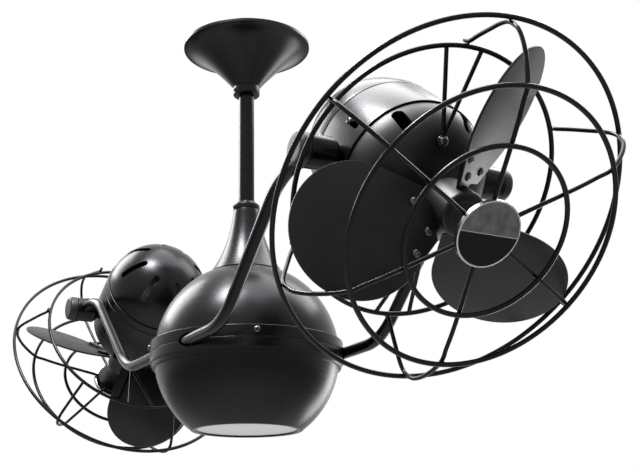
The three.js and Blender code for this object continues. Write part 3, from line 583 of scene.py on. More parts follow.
# ------------------------------------------------------------------ finishes
def linear(code: str) -> tuple[float, float, float, float]:
    """A colour written as an sRGB hex code, as Blender's linear values.

    Args:
        code: the colour, as # and six hex digits.

    Returns:
        Red, green, blue and an alpha of 1.
    """
    shares = [int(code[i : i + 2], 16) / 255 for i in (1, 3, 5)]
    red, green, blue = (s / 12.92 if s <= 0.04045 else ((s + 0.055) / 1.055) ** 2.4 for s in shares)
    return red, green, blue, 1.0


def per_metre(millimetres: float) -> float:
    """A noise texture's scale for features of a real size."""
    return 1000 / millimetres


@dataclass(frozen=True)
class Finish:
    """A procedural finish, whose shade, gloss and relief follow one grain."""

    name: str
    colour: str
    darker: str
    metallic: float
    roughness: float
    spread: float  # how far the roughness goes either way with the grain
    grain: float  # millimetres between two grains
    relief: float  # millimetres from a grain's foot to its top
    stretch: tuple[float, float, float] = (1, 1, 1)
    spun: bool = False  # whether the grain runs round the Z axis, as on a piece turned in a lathe
    specular: float = 0.5

    def build(self, name: str, place: Matrix) -> bpy.types.Material:
        """Makes the material.

        Args:
            name: the material's name.
            place: the axes that the grain follows, in millimetres.

        Returns:
            The node material.
        """
        made = bpy.data.materials.new(name)
        made.use_nodes = True
        tree = made.node_tree
        tree.nodes.clear()
        grain, blotch = self._grain(tree, place)
        # The whole grain and half of the blotches come to 0.5 to 1 nearly everywhere.
        both = add_node(
            tree, "ShaderNodeMath", {"operation": "MULTIPLY_ADD"}, {1: 0.5}, {0: blotch, 2: grain}
        ).outputs[0]
        share = add_node(
            tree, "ShaderNodeMapRange", None, {"From Min": 0.5, "From Max": 1.0}, {"Value": both}
        ).outputs[0]
        colour = add_node(
            tree,
            "ShaderNodeMix",
            {"data_type": "RGBA"},
            {6: linear(self.darker), 7: linear(self.colour)},
            {0: share},
        ).outputs[2]
        gloss = {
            "From Min": GRAIN_RANGE[0],
            "From Max": GRAIN_RANGE[1],
            "To Min": self.roughness - self.spread,
            "To Max": self.roughness + self.spread,
        }
        rough = add_node(tree, "ShaderNodeMapRange", None, gloss, {"Value": grain}).outputs[0]
        depth = {"Strength": BUMP, "Distance": self.relief * MM}
        relief = add_node(tree, "ShaderNodeBump", None, depth, {"Height": grain}).outputs[0]
        skin = add_node(
            tree,
            "ShaderNodeBsdfPrincipled",
            None,
            {"Metallic": self.metallic, "Specular IOR Level": self.specular},
            {"Base Color": colour, "Roughness": rough, "Normal": relief},
        )
        add_node(tree, "ShaderNodeOutputMaterial", None, None, {"Surface": skin.outputs[0]})
        return made

    def _grain(
        self, tree: bpy.types.NodeTree, place: Matrix
    ) -> tuple[bpy.types.NodeSocket, bpy.types.NodeSocket]:
        """The fine grain and the broad blotches, both from 0 to 1.

        Args:
            tree: the material's tree.
            place: the axes that the grain follows, in millimetres.

        Returns:
            The grain's and the blotches' outputs.
        """
        where = add_node(tree, "ShaderNodeTexCoord").outputs["Object"]
        axes = {"Location": place.translation * MM, "Rotation": place.to_euler("XYZ")}
        lay = add_node(tree, "ShaderNodeMapping", {"vector_type": "TEXTURE"}, axes, {"Vector": where})
        laid = lay.outputs[0]
        detail = {"Scale": per_metre(self.grain), "Detail": 2.0, "Roughness": 0.6}
        if self.spun:
            grain = self._lines_round(tree, laid, detail)
        else:
            stretch = {"Scale": self.stretch}
            drawn = add_node(tree, "ShaderNodeMapping", None, stretch, {"Vector": laid}).outputs[0]
            grain = add_node(tree, "ShaderNodeTexNoise", None, detail, {"Vector": drawn}).outputs[0]
        broad = {"Scale": per_metre(BLOTCH), "Detail": 1.0}
        return grain, add_node(tree, "ShaderNodeTexNoise", None, broad, {"Vector": laid}).outputs[0]

    def _lines_round(
        self, tree: bpy.types.NodeTree, laid: bpy.types.NodeSocket, detail: dict[str, float]
    ) -> bpy.types.NodeSocket:
        """A grain that changes with the distance from the Z axis and along it, and hardly at all round it.

        Args:
            tree: the material's tree.
            laid: the point, in the axes that the grain follows.
            detail: the noise texture's scale, detail and roughness.

        Returns:
            The grain's output.
        """
        maths = "ShaderNodeVectorMath"
        flat = add_node(tree, maths, {"operation": "MULTIPLY"}, {1: (1, 1, 0)}, {0: laid})
        reach = add_node(tree, maths, {"operation": "LENGTH"}, None, {0: flat.outputs[0]})
        facing = add_node(tree, maths, {"operation": "NORMALIZE"}, None, {0: flat.outputs[0]})
        # Once round the axis moves the noise by no more than two grains either way.
        little = {"Scale": 2 * self.grain * MM}
        small = add_node(tree, maths, {"operation": "SCALE"}, little, {0: facing.outputs[0]})
        turn = add_node(tree, "ShaderNodeSeparateXYZ", None, None, {0: small.outputs[0]}).outputs
        height = add_node(tree, "ShaderNodeSeparateXYZ", None, None, {0: laid}).outputs[2]
        lines = add_node(
            tree, "ShaderNodeCombineXYZ", None, None, {0: reach.outputs["Value"], 1: height, 2: turn[0]}
        )
        return add_node(
            tree,
            "ShaderNodeTexNoise",
            {"noise_dimensions": "4D"},
            detail,
            {"Vector": lines.outputs[0], "W": turn[1]},
        ).outputs[0]


BLOTCH = 70.0  # millimetres between the broad, faint changes of shade that every real surface has
GRAIN_RANGE = (0.3, 0.7)  # where nearly all of a noise texture's values lie
BUMP = 0.6  # how strongly the relief turns the light


class Coat(Enum):
    """The finishes on the fan."""

    # Black-nickelled spun steel: satin, with brushing lines round the axis it was spun on. Real lines
    # are about 0.2 mm apart, too fine to show here, so they are drawn 1.4 mm apart.
    SPUN = Finish("black_nickelled_spun_steel", "#212123", "#1d1d1f", 0.9, 0.28, 0.02, 1.4, 0.004, spun=True)
    # Black-nickelled drawn steel tube: as above and a little smoother, with a faint cloudiness.
    TUBE = Finish("black_nickelled_drawn_tube", "#1c1c1e", "#18181a", 0.9, 0.22, 0.02, 3.0, 0.003)
    # Powder coat on castings, which are the motor's front cover, the trunnions with their caps and the hub:
    # darker and more matte than the spun parts.
    CAST = Finish("powder_coated_casting", "#151517", "#101012", 0.0, 0.46, 0.04, 1.0, 0.01, specular=0.3)
    # Powder coat on sheet steel: matte to satin, with a fine orange peel of about 0.5 mm, drawn at 1 mm.
    BLADE = Finish(
        "powder_coated_sheet_steel", "#131315", "#0e0e10", 0.0, 0.4, 0.05, 1.0, 0.012, specular=0.22
    )
    # Baked enamel on round steel wire: smooth and glossy, so it shows thin bright lines.
    WIRE = Finish("enamelled_steel_wire", "#0b0b0c", "#09090a", 0.0, 0.2, 0.01, 9.0, 0.001, specular=0.15)
    # Bright nickel plate on the arms' set screws and the front plate's rim: clean, with faint tool marks.
    SCREW = Finish("nickel_plated_steel", "#bcbcbe", "#98989b", 1.0, 0.22, 0.05, 0.6, 0.003)
    # Blackened steel of screws that were darkened with the case.
    DARK_SCREW = Finish("blackened_steel", "#59595b", "#434346", 1.0, 0.24, 0.05, 0.6, 0.003)
    # Satin nickel of the front plate's upper half: faintly mottled, as it is plated over a cast face.
    PLATE = Finish("satin_nickel_plate", "#68686a", "#464648", 1.0, 0.3, 0.04, 12.0, 0.01)
    # Black enamel filled into the front plate's lower half: smooth and glossy.
    ENAMEL = Finish("black_enamel_fill", "#0b0b0c", "#09090a", 0.0, 0.3, 0.03, 1.2, 0.003, specular=0.1)
    # Opal glass with a sandblasted face: white all through, with a soft gloss.
    GLASS = Finish("sandblasted_opal_glass", "#c4c4c2", "#bdbdbb", 0.0, 0.5, 0.05, 0.8, 0.005)
    # Zinc plate on the pressed steel of brackets out of sight: dull, with a faint spangle.
    ZINC = Finish("zinc_plated_pressed_steel", "#77777a", "#5a5a5d", 1.0, 0.42, 0.08, 3.0, 0.01)
    # Varnished laminations and windings of the motor: dark brown, with lines along the stack 1.2 mm apart.
    WINDING = Finish(
        "varnished_motor_laminations", "#1f1713", "#130f0d", 0.6, 0.45, 0.1, 1.2, 0.05, (1, 0.1, 0.1)
    )
    # Ground bright steel of the shafts and bearings.
    SHAFT = Finish("ground_bright_steel", "#c4c4c6", "#a6a6a9", 1.0, 0.2, 0.05, 0.8, 0.003)
    # Glazed steatite of the lamp's base: smooth and off-white.
    CERAMIC = Finish("glazed_steatite", "#e4e0d4", "#dad5c8", 0.0, 0.22, 0.04, 2.0, 0.004)


class Coats:
    """Makes each finish's material once for each set of axes that its grain follows."""

    def __init__(self) -> None:
        """Starts with no material made."""
        self.made: dict[str, bpy.types.Material] = {}

    def get(self, coat: Coat, axes: str = "", place: Matrix | None = None) -> bpy.types.Material:
        """Gives a finish's material.

        Args:
            coat: the finish.
            axes: a name for the axes that its grain follows, where they aren't the frame's.
            place: those axes, in millimetres.

        Returns:
            The material.
        """
        name = "_".join(part for part in (coat.value.name, axes) if part)
        if name not in self.made:
            self.made[name] = coat.value.build(name, place or Matrix.Identity(4))
        return self.made[name]


# ------------------------------------------------------------------ places in the frame
JOINTS: dict[str, dict[str, Any]] = {joint["name"]: joint for joint in FRAME["joints"]}


def span(node: str) -> tuple[Vector, Vector]:
    """A CAD node's lowest and highest corners, in millimetres."""
    low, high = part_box(node)
    return low / MM, high / MM


class Side(Enum):
    """The two heads."""

    RIGHT = "right"
    LEFT = "left"

    def place(self) -> Matrix:
        """The head's own axes in the frame: X ahead along its shaft, Y along its tilt axis.

        Returns:
            The head's place.
        """
        ahead = Vector(JOINTS[f"{self.value}_rotor_spin"]["axis"]).normalized()
        across = Vector((0, 0, 1)).cross(ahead).normalized()
        turn = Matrix((ahead, across, ahead.cross(across))).transposed().to_4x4()
        pivot = Vector(JOINTS[f"{self.value}_head_tilt"]["pos_m"]) / MM
        return Matrix.Translation(pivot) @ turn

    def body(self, kind: str) -> str:
        """The name of this side's body or node of a kind."""
        return f"{self.value}_{kind}"


def dress(
    made: bpy.types.Object,
    body: str,
    paint: bpy.types.Material | None = None,
    stands_for: Iterable[str] = (),
) -> None:
    """Finishes a piece: its material, the body it moves with and the CAD nodes it stands for.

    Args:
        made: the piece.
        body: the body that it moves with.
        paint: its material, if it has none of its own yet.
        stands_for: the CAD nodes that it takes the place of.
    """
    if paint is not None:
        made.data.materials.clear()
        made.data.materials.append(paint)
    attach(made, body)
    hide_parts(*stands_for)
    LOG.info("%s: %d faces on %s", made.name, len(made.data.polygons), body)


# ------------------------------------------------------------------ screws
def cross_outline(reach: float, half: float) -> Profile:
    """The outline of a cross with four equal arms.

    Args:
        reach: from its middle to an arm's end.
        half: half of an arm's width.

    Returns:
        The outline, anticlockwise.
    """
    return [
        (reach, -half), (reach, half), (half, half), (half, reach), (-half, reach), (-half, half),
        (-reach, half), (-reach, -half), (-half, -half), (-half, -reach), (half, -reach), (half, -half),
    ]  # fmt: skip


def pan_head(radius: float, height: float, paint: bpy.types.Material) -> bpy.types.Object:
    """A pan head with a cross recess, standing on Z = 0 at the origin.

    Args:
        radius: the head's radius.
        height: its height.
        paint: its material.

    Returns:
        The head, to be copied to its places.
    """
    corners = [
        (0, 0),
        (radius, 0),
        (radius, height * 0.45, height * 0.3),
        (radius * 0.55, height, height),
        (0, height),
    ]
    head = Shape().lathe(rounded(corners, 6), 32).to_object("pan_head_template")
    recess = Shape().prism(cross_outline(radius * 0.56, radius * 0.13), height * 0.5, height * 1.2)
    cut(head, recess.to_object("cross_recess"), paint)
    return head


def socket_head(radius: float, height: float, paint: bpy.types.Material) -> bpy.types.Object:
    """A set screw's end with a hexagon socket, standing on Z = 0 at the origin.

    Args:
        radius: its radius.
        height: its height.
        paint: its material.

    Returns:
        The screw's end, to be copied to its places.
    """
    profile = rounded([(0, 0), (radius, 0), (radius, height, radius * 0.2), (0, height)], 3)
    head = Shape().lathe(profile, 24).to_object("socket_head_template")
    hexagon = arc((0, 0), radius * 0.55, 0, 300, 5)
    cut(head, Shape().prism(hexagon, height * 0.3, height * 1.2).to_object("hexagon_socket"), paint)
    return head


# ------------------------------------------------------------------ canopy, rod and neck
@dataclass
class Hanger:
    """The canopy at the ceiling, the rod and the neck, with their collars and set screws."""

    coats: Coats
    wall: float = 2.0
    lip: float = 4.0
    flare: tuple[float, float, float] = (0.62, 0.38, 0.86)  # straight share, root share, power
    steps: int = 40  # chords along the canopy's outside
    crowding: float = 1.5  # how much shorter those chords are near the ceiling
    rod_radius: float = 9.5
    collar_band: float = 5.2  # how high the neck collar's straight part is
    neck_top: float = 15.4
    neck_foot: float = 42.5
    neck_cone: float = 11.0
    neck_power: float = 2.6
    neck_steps: int = 48
    neck_solid: int = 24  # how many of those steps are solid, from the top
    screw: tuple[float, float] = (2.4, 2.6)  # the set screws' radius, and how much of one is made
    screw_sunk: float = 1.0
    sides: int = 128

    def build(self) -> None:
        """Makes and dresses every piece of the hanger."""
        spun = self.coats.get(Coat.SPUN)
        for name, shape in (
            ("canopy", self.canopy()),
            ("canopy_collar", self.canopy_collar()),
            ("downrod", self.rod()),
            ("neck_collar", self.neck_collar()),
            ("neck", self.neck()),
        ):
            paint = self.coats.get(Coat.TUBE) if name == "downrod" else spun
            dress(shape.to_object(name + "_spun"), "mount", paint, [name])
        for collar in ("canopy_collar", "neck_collar"):
            self.set_screw(collar)
        for node in ("ceiling_bracket", "hanger_ball", "spindle"):
            repaint(node, self.coats.get(Coat.ZINC))

    def canopy(self) -> Shape:
        """The trumpet-shaped cover at the ceiling.

        Returns:
            The canopy's shape.
        """
        low, high = span("canopy")
        base = span("canopy_collar")[1].x
        straight, root, power = self.flare
        outside: Profile = []
        for step in range(self.steps + 1):
            share = (step / self.steps) ** self.crowding
            radius = high.x - (high.x - base) * (straight * share + root * math.sqrt(share)) ** power
            outside.append((radius, -self.lip + (low.z + self.lip) * share))
        sheet = self.wall * 0.8
        inside = [(radius - self.wall * 1.2, z + sheet) for radius, z in outside[::2]]
        bore = self.rod_radius + GAP
        foot = [(bore, low.z + sheet), (bore, low.z)]
        inner = (high.x - self.wall, 0)
        edge = rounded([inner, (high.x, -self.lip), (high.x, 0, 0.8)])[2:]
        return Shape().lathe([inner, *inside, *foot, *outside[::-1], *edge], self.sides)

    def canopy_collar(self) -> Shape:
        """The ring that holds the canopy up on the rod.

        Returns:
            The collar's shape.
        """
        low, high = span("canopy_collar")
        bore = self.rod_radius + GAP
        corners = [(bore, low.z), (high.x, low.z, 2.0), (high.x, high.z, 0.6), (bore, high.z)]
        return Shape().lathe(rounded(corners), self.sides)

    def rod(self) -> Shape:
        """The tube from the ceiling ball to the neck.

        Returns:
            The tube's shape.
        """
        low, high = span("downrod")
        inner = self.rod_radius - self.wall
        corners = [(inner, low.z), (self.rod_radius, low.z), (self.rod_radius, high.z), (inner, high.z)]
        return Shape().lathe(corners, 64)

    def neck_collar(self) -> Shape:
        """The collar on the neck: a straight band under a cone.

        Returns:
            The collar's shape.
        """
        low, high = span("neck_collar")
        bore = self.rod_radius + GAP
        corners = [
            (bore, low.z),
            (high.x, low.z, 0.8),
            (high.x, low.z + self.collar_band, 1.2),
            (self.rod_radius + 2, high.z, 0.5),
            (bore, high.z),
        ]
        return Shape().lathe(rounded(corners), self.sides)

    def neck(self) -> Shape:
        """The neck that flares down to the globe.

        Returns:
            The neck's shape.
        """
        low, high = span("neck")
        outside: Profile = []
        for step in range(self.neck_steps + 1):
            share = step / self.neck_steps
            flare = (self.neck_foot - self.neck_top - self.neck_cone) * share**self.neck_power
            radius = self.neck_top + self.neck_cone * share + flare
            outside.append((radius, high.z + (low.z - high.z) * share))
        bore = self.rod_radius + GAP
        inside = [(radius - self.wall * 1.2, z + 0.6) for radius, z in outside[self.neck_solid : -1]]
        inside.append((self.neck_foot - self.wall, low.z))
        web = inside[0][1]
        top = rounded([(bore, web), (bore, high.z), (self.neck_top, high.z, 1.0), outside[4]])[1:-1]
        return Shape().lathe([(bore, web), *inside, *outside[:3:-1], *top[::-1]], self.sides)

    def set_screw(self, collar: str) -> None:
        """A collar's set screw, with its socket.

        Args:
            collar: the collar's CAD node.
        """
        node = f"{collar}_screw"
        radius = span(collar)[1].x
        low, high = span(node)
        steel = self.coats.get(Coat.DARK_SCREW)
        places = [at(0, self.screw_sunk - radius, (low.z + high.z) / 2) @ turned(90, "X")]
        made = copied(node + "_end", socket_head(*self.screw, steel), places, steel)
        dress(made, "mount", None, [node])


def repaint(node: str, paint: bpy.types.Material) -> None:
    """Gives a CAD node that stays in sight a procedural material."""
    FRAME["nodes"][node].data.materials.clear()
    FRAME["nodes"][node].data.materials.append(paint)


# ------------------------------------------------------------------ globe
@dataclass
class Globe:
    """The globe's two shells with their band, its screws, and the light in its foot."""

    coats: Coats
    radius: float = 107.5
    wall: float = 2.2
    top_hole: float = 26.0
    opening: float = 63.3
    band_proud: float = 4.5
    band_above: float = 13.0
    band_below: float = 12.0
    sill_height: float = 5.0
    sill_proud: float = 1.9
    arm_y: float = 95.0
    slot_radius: float = 8.3
    screws: int = 4
    screw_rise: float = 7.0
    screw_start: float = -20.0
    screw_head: tuple[float, float] = (3.6, 2.4)  # radius, height
    ring_lip: float = 1.6
    ring_width: float = 5.0
    sides: int = 160

    @property
    def centre(self) -> float:
        """How high the globe's middle is."""
        return JOINTS["globe_spin"]["pos_m"][2] / MM

    @property
    def band(self) -> float:
        """The band's radius."""
        return self.radius + self.band_proud

    def build(self) -> None:
        """Makes and dresses every piece of the globe."""
        spun = self.coats.get(Coat.SPUN)
        shells = {"globe_upper_shell": self.upper_shell(), "globe_lower_shell": self.lower_shell()}
        for name, shape in shells.items():
            made = shape.to_object(name + "_spun")
            cut(made, self.arm_slots(), spun)
            dress(made, "globe", None, [name])
        self.band_screws()
        self.light()
        inside = {
            "arm_carrier": Coat.ZINC,
            "spindle_bearing": Coat.SHAFT,
            "lamp_holder": Coat.CERAMIC,
            "lamp_bulb": Coat.GLASS,
        }
        for node, coat in inside.items():
            repaint(node, self.coats.get(coat))

    def sphere(self, radius: float, start: float, end: float, steps: int) -> Profile:
        """Points of the globe's round outline between two heights over its middle."""
        from_angle, to_angle = (math.degrees(math.asin(height / radius)) for height in (start, end))
        return arc((0, self.centre), radius, from_angle, to_angle, steps)

    def upper_shell(self) -> Shape:
        """The upper half, with the band's upper part and the hole under the neck.

        Returns:
            The shell's shape.
        """
        seam, ledge = self.centre + GAP / 2, self.band_above
        inner = self.radius - self.wall
        outside = self.sphere(self.radius, ledge, on_sphere(self.radius, self.top_hole), 48)
        inside = self.sphere(inner, ledge - self.wall, on_sphere(inner, self.top_hole), 24)
        corners = [
            (self.band - self.wall, seam),
            (self.band, seam, 0.5),
            (self.band, self.centre + ledge, 1.1),
            (*outside[0], 0.8),
            *outside[1:],
            *inside[::-1],
            (self.band - self.wall, self.centre + ledge - self.wall),
        ]
        return Shape().lathe(rounded(corners), self.sides)

    def lower_shell(self) -> Shape:
        """The lower half, with the band's lower part, the low sill under it and the round opening.

        Returns:
            The shell's shape.
        """
        seam, ledge = self.centre - GAP / 2, self.band_below
        inner, foot = self.radius - self.wall, ledge + self.sill_height
        sill = self.radius + self.sill_proud
        outside = self.sphere(self.radius, -foot, -on_sphere(self.radius, self.opening), 48)
        inside = self.sphere(inner, -ledge + self.wall, -on_sphere(inner, self.opening), 24)
        corners = [
            (self.band - self.wall, seam),
            (self.band, seam, 0.5),
            (self.band, self.centre - ledge, 1.0),
            (sill + 0.5, self.centre - ledge, 0.5),
            (sill, self.centre - foot, 0.8),
            (*outside[0], 0.5),
            *outside[1:],
            *inside[::-1],
            (self.band - self.wall, self.centre - ledge + self.wall),
        ]
        return Shape().lathe(rounded(corners), self.sides)

    def arm_slots(self) -> bpy.types.Object:
        """Makes what is cut out of the band where the four arms come out.

        Returns:
            The cutter, which is a rod along each pair of arms.
        """
        half, radius = self.band, self.slot_radius
        hole: Profile = [(0, -half), (radius, -half), (radius, half), (0, half)]
        both = Shape()
        for side in (1, -1):
            both.lathe(hole, 48, Axis.X, at(0, side * self.arm_y, self.centre))
        return both.to_object("arm_slot_cutter")

    def band_screws(self) -> None:
        """The pan-head screws round the band."""
        steel = self.coats.get(Coat.DARK_SCREW)
        places = [
            turned(self.screw_start + 360 / self.screws * index, "Z")
            @ at(self.band + GAP, 0, self.centre + self.screw_rise)
            @ turned(90, "Y")
            for index in range(self.screws)
        ]
        made = copied("band_pan_screws", pan_head(*self.screw_head, steel), places, steel)
        nodes = [f"band_screw_{index + 1}" for index in range(self.screws)]
        dress(made, "globe", None, nodes)

    def light(self) -> None:
        """The ring in the opening and the glass that rests on it."""
        low, high = span("lens_ring")
        outer, lip = high.x, self.ring_lip
        inner = outer - self.ring_width
        corners = [
            (inner, low.z, 0.4),
            (outer, low.z, 1.2),
            (outer, high.z),
            (inner + lip, high.z),
            (inner + lip, low.z + lip),
            (inner, low.z + lip),
        ]
        ring = Shape().lathe(rounded(corners), self.sides).to_object("lens_ring_spun")
        dress(ring, "globe", self.coats.get(Coat.SPUN), ["lens_ring"])
        low, high = span("lens")
        glass = rounded([(0, low.z), (high.x, low.z, 0.8), (high.x, high.z, 0.4), (0, high.z)])
        made = Shape().lathe(glass, self.sides).to_object("lens_glass")
        dress(made, "globe", self.coats.get(Coat.GLASS), ["lens"])


# ------------------------------------------------------------------ arms
@dataclass
class Arm:
    """One bent tube from the globe to a head, with its knuckle and set screws."""

    coats: Coats
    end: int  # 1 for the right head, -1 for the left
    side: int  # -1 for the front, 1 for the back
    radius: float = 6.5
    inner_end: float = 12.0
    lower_corner: float = 141.0
    upper_corner: float = 272.0
    bend: float = 80.0
    knuckle_radius: float = 16.3
    nose_radius: float = 10.5
    cone: float = 7.0
    inward: float = 22.0
    outward: float = 10.5
    pin_bore: float = 8.45
    tip_clear: float = 1.0  # from the tube's end to the knuckle's bore
    sides: int = 40
    screw: tuple[float, float] = (2.6, 2.2)  # the set screws' radius, and how much of one is made
    screw_sunk: float = 0.8
    screw_places: tuple[float, float] = (-6.0, 5.0)  # along the knuckle

    def build(self, globe: Globe) -> None:
        """Makes the arm with its knuckle as one piece, and its set screws.

        Args:
            globe: the globe that it comes out of.
        """
        pivot = Vector(JOINTS["right_head_tilt"]["pos_m"]) / MM
        route = [
            (self.inner_end, globe.centre),
            (self.lower_corner, globe.centre),
            (self.upper_corner, pivot.z),
            (pivot.x - self.pin_bore - self.tip_clear, pivot.z),
        ]
        name = f"arm_{'right' if self.end > 0 else 'left'}_{'back' if self.side > 0 else 'front'}"
        y = self.side * globe.arm_y
        steel = self.coats.get(Coat.TUBE)
        tube = path_object(name + "_tube", [[Vector((self.end * x, y, z)) for x, z in route]])
        size = {"radius": self.radius * MM, "bend": self.bend * MM, "sides": self.sides}
        Tool.BAR.value.run(tube, **size, material=steel)
        turn = turned(0 if self.side > 0 else 180, "X")
        middle = at(self.end * pivot.x, y, pivot.z) @ turn
        knuckle = self.knuckle().to_object(name + "_knuckle", middle)
        knuckle.data.materials.append(steel)
        dress(joined(name + "_welded", [tube, knuckle]), "globe", None, [name])
        bright = self.coats.get(Coat.SCREW)
        top = at(0, 0, self.knuckle_radius - self.screw_sunk)
        places = [middle @ at(0, along, 0) @ turn @ top for along in self.screw_places]
        screws = copied(name + "_set_screws", socket_head(*self.screw, bright), places, bright)
        dress(screws, "globe")

    def knuckle(self) -> Shape:
        """The knuckle round the trunnion, along Y, with its inner end at minus Y and its middle at the arm.

        Returns:
            The knuckle's shape.
        """
        corners = [
            (self.pin_bore, -self.inward),
            (self.nose_radius, -self.inward, 0.8),
            (self.knuckle_radius, self.cone - self.inward, 2.5),
            (self.knuckle_radius, self.outward, 1.4),
            (self.pin_bore, self.outward),
        ]
        return Shape().lathe(rounded(corners), 72, Axis.Y)


# ------------------------------------------------------------------ motor
@dataclass
class Motor:
    """A head's motor case: the slotted rear dome, the band and the slotted front dome, on its trunnions."""

    coats: Coats
    side: Side
    radius: float = 72.0
    dome_radius: float = 70.0
    wall: float = 2.4
    band_start: float = -50.0
    band_end: float = 18.0
    nose_end: float = 60.0
    nose_radius: float = 30.0
    shaft_hole: float = 8.0
    boss: tuple[float, float] = (15.0, 1.8)  # the radius and height of the low boss round the shaft
    nose_steps: int = 40
    groove: tuple[float, float, float] = (11.0, 1.6, 0.8)  # from the band's back, width, depth
    sides: int = 160
    rear_slots: int = 8
    rear_slot: tuple[float, float, float] = (8.5, 42.0, 20.0)  # width, length, depth of the cutter
    rear_slot_angle: float = 132.3  # from straight ahead to a slot's middle, seen from the dome's centre
    rear_slot_clock: float = -4.0
    front_slots: int = 6
    front_slot: tuple[float, float, float] = (12.0, 26.0, 30.0)  # width, length, depth of the cutter
    front_slot_ahead: float = 16.0  # from the band to a slot's middle
    front_slot_sunk: float = 2.5
    front_slot_slope: float = 68.0
    front_slot_clock: float = 7.5
    screw_along: float = -11.0
    screw_head: tuple[float, float] = (3.4, 2.2)  # radius, height
    screw_slot: tuple[float, float, float] = (6.0, 14.0, 8.0)  # width, length, depth of the cutter
    screw_slot_along: float = -0.5
    flange: tuple[float, float, float] = (13.0, 4.0, 2.0)  # a trunnion's: radius, thickness, in from the wall
    knuckle_clear: float = 1.0  # from the band to a knuckle
    cap_radius: float = 16.3
    cap_length: float = 11.0
    cap_edge: float = 7.5

    def build(self, arm: Arm) -> None:
        """Makes and dresses the case and its trunnions.

        Args:
            arm: an arm, for the size of the knuckle that a trunnion passes.
        """
        place, spun = self.side.place(), self.spun()
        body = self.side.body("head")
        rear = self.rear_dome().to_object(self.side.body("rear_dome_spun"), place)
        cut(rear, self.rear_cutter(place, spun), spun)
        dress(rear, body, None, [self.side.body("motor_rear_dome")])
        band = self.band().to_object(self.side.body("band_spun"), place)
        cut(band, self.band_cutter(place, spun), spun)
        dress(band, body, None, [self.side.body("motor_band")])
        front = self.front_dome().to_object(self.side.body("front_dome_spun"), place)
        cast = self.coats.get(Coat.CAST)
        cut(front, self.front_cutter(place, cast), cast)
        dress(front, body, None, [self.side.body("motor_front_dome")])
        self.screws(place)
        for number, turn in ((1, 180), (2, 0)):
            node = self.side.body(f"trunnion_{number}")
            trunnion = self.trunnion(arm).to_object(node + "_turned", place @ turned(turn, "X"))
            dress(trunnion, body, cast, [node])
        repaint(self.side.body("stator"), self.coats.get(Coat.WINDING, self.side.value, place))

    def spun(self) -> bpy.types.Material:
        """The case's finish, with its brushing lines round the head's own shaft."""
        return self.coats.get(Coat.SPUN, self.side.body("head"), self.side.place() @ turned(90, "Y"))

    def nose(self, along: float) -> float:
        """The front dome's radius at a distance along the head."""
        share = (along - self.band_end) / (self.nose_end - self.band_end)
        return self.nose_radius + (self.dome_radius - self.nose_radius) * math.sqrt(max(1 - share * share, 0))

    def rear_dome(self) -> Shape:
        """The round cover behind the band.

        Returns:
            The dome's shape.
        """
        centre = (0.0, self.band_start - GAP)
        outside = arc(centre, self.dome_radius, 0, -90, 48)
        inside = arc(centre, self.dome_radius - self.wall, -90, 0, 24)
        outside[-1], inside[0] = (0.0, outside[-1][1]), (0.0, inside[0][1])
        return Shape().lathe([*outside, *inside], self.sides, Axis.X)

    def rear_cutter(self, place: Matrix, paint: bpy.types.Material) -> bpy.types.Object:
        """Makes what is cut out of the rear dome for its long slots.

        Args:
            place: the head's place.
            paint: the material of what is cut.

        Returns:
            The cutter.
        """
        centre = place @ at(self.band_start - GAP)
        lay = turned(self.rear_slot_angle, "Z") @ at(self.dome_radius) @ Axis.X.value
        places = [centre @ turn @ lay for turn in evenly_turned(self.rear_slots, self.rear_slot_clock)]
        return copied("rear_slot_cutter", slot_shape(*self.rear_slot).to_object("slot"), places, paint)

    def band(self) -> Shape:
        """The middle of the case: a straight band with a groove behind and a soft edge in front.

        Returns:
            The band's shape.
        """
        inner = self.radius - self.wall
        behind, width, depth = self.groove
        groove, slope = self.band_start + behind, width / 4
        corners = [
            (inner, self.band_start),
            (self.radius, self.band_start, 1.6),
            (self.radius, groove, 0.3),
            (self.radius - depth, groove + slope),
            (self.radius - depth, groove + width - slope),
            (self.radius, groove + width, 0.3),
            (self.radius, self.band_end, 0.8),
            (inner, self.band_end),
        ]
        return Shape().lathe(rounded(corners), self.sides, Axis.X)

    def band_cutter(self, place: Matrix, paint: bpy.types.Material) -> bpy.types.Object:
        """Makes what is cut out of the band for the small slots beside its screws.

        Args:
            place: the head's place.
            paint: the material of what is cut.

        Returns:
            The cutter.
        """
        lay = at(self.screw_slot_along, self.radius) @ FLAT.transposed()
        places = [place @ turned(angle, "X") @ lay for angle in BAND_SCREW_ANGLES]
        return copied("band_slot_cutter", slot_shape(*self.screw_slot).to_object("slot"), places, paint)

    def front_dome(self) -> Shape:
        """The cover in front of the band, with a low boss round the shaft.

        Returns:
            The dome's shape.
        """
        start = self.band_end + GAP
        outside: Profile = []
        for step in range(self.nose_steps + 1):
            along = start + (self.nose_end - start) * math.sin(math.pi / 2 * step / self.nose_steps)
            outside.append((self.nose(along), along))
        inside = [(radius - self.wall, along - self.wall * 0.9) for radius, along in outside[::2]]
        inside[0] = (inside[0][0], start)
        radius, height = self.boss
        top = self.nose_end + height
        boss = [(radius, self.nose_end, 0.4), (radius, top, 0.6), (self.shaft_hole, top, 0.4)]
        corners = [*outside, *boss, (self.shaft_hole, self.nose_end - self.wall), *inside[::-1]]
        return Shape().lathe(rounded(corners), self.sides, Axis.X)

    def front_cutter(self, place: Matrix, paint: bpy.types.Material) -> bpy.types.Object:
        """Makes what is cut out of the front dome for its short, wide slots.

        Args:
            place: the head's place.
            paint: the material of what is cut.

        Returns:
            The cutter.
        """
        along = self.band_end + self.front_slot_ahead
        middle = at(along, self.nose(along) - self.front_slot_sunk)
        lay = middle @ turned(self.front_slot_slope, "Z") @ Axis.X.value
        places = [place @ turn @ lay for turn in evenly_turned(self.front_slots, self.front_slot_clock)]
        return copied("front_slot_cutter", slot_shape(*self.front_slot).to_object("slot"), places, paint)

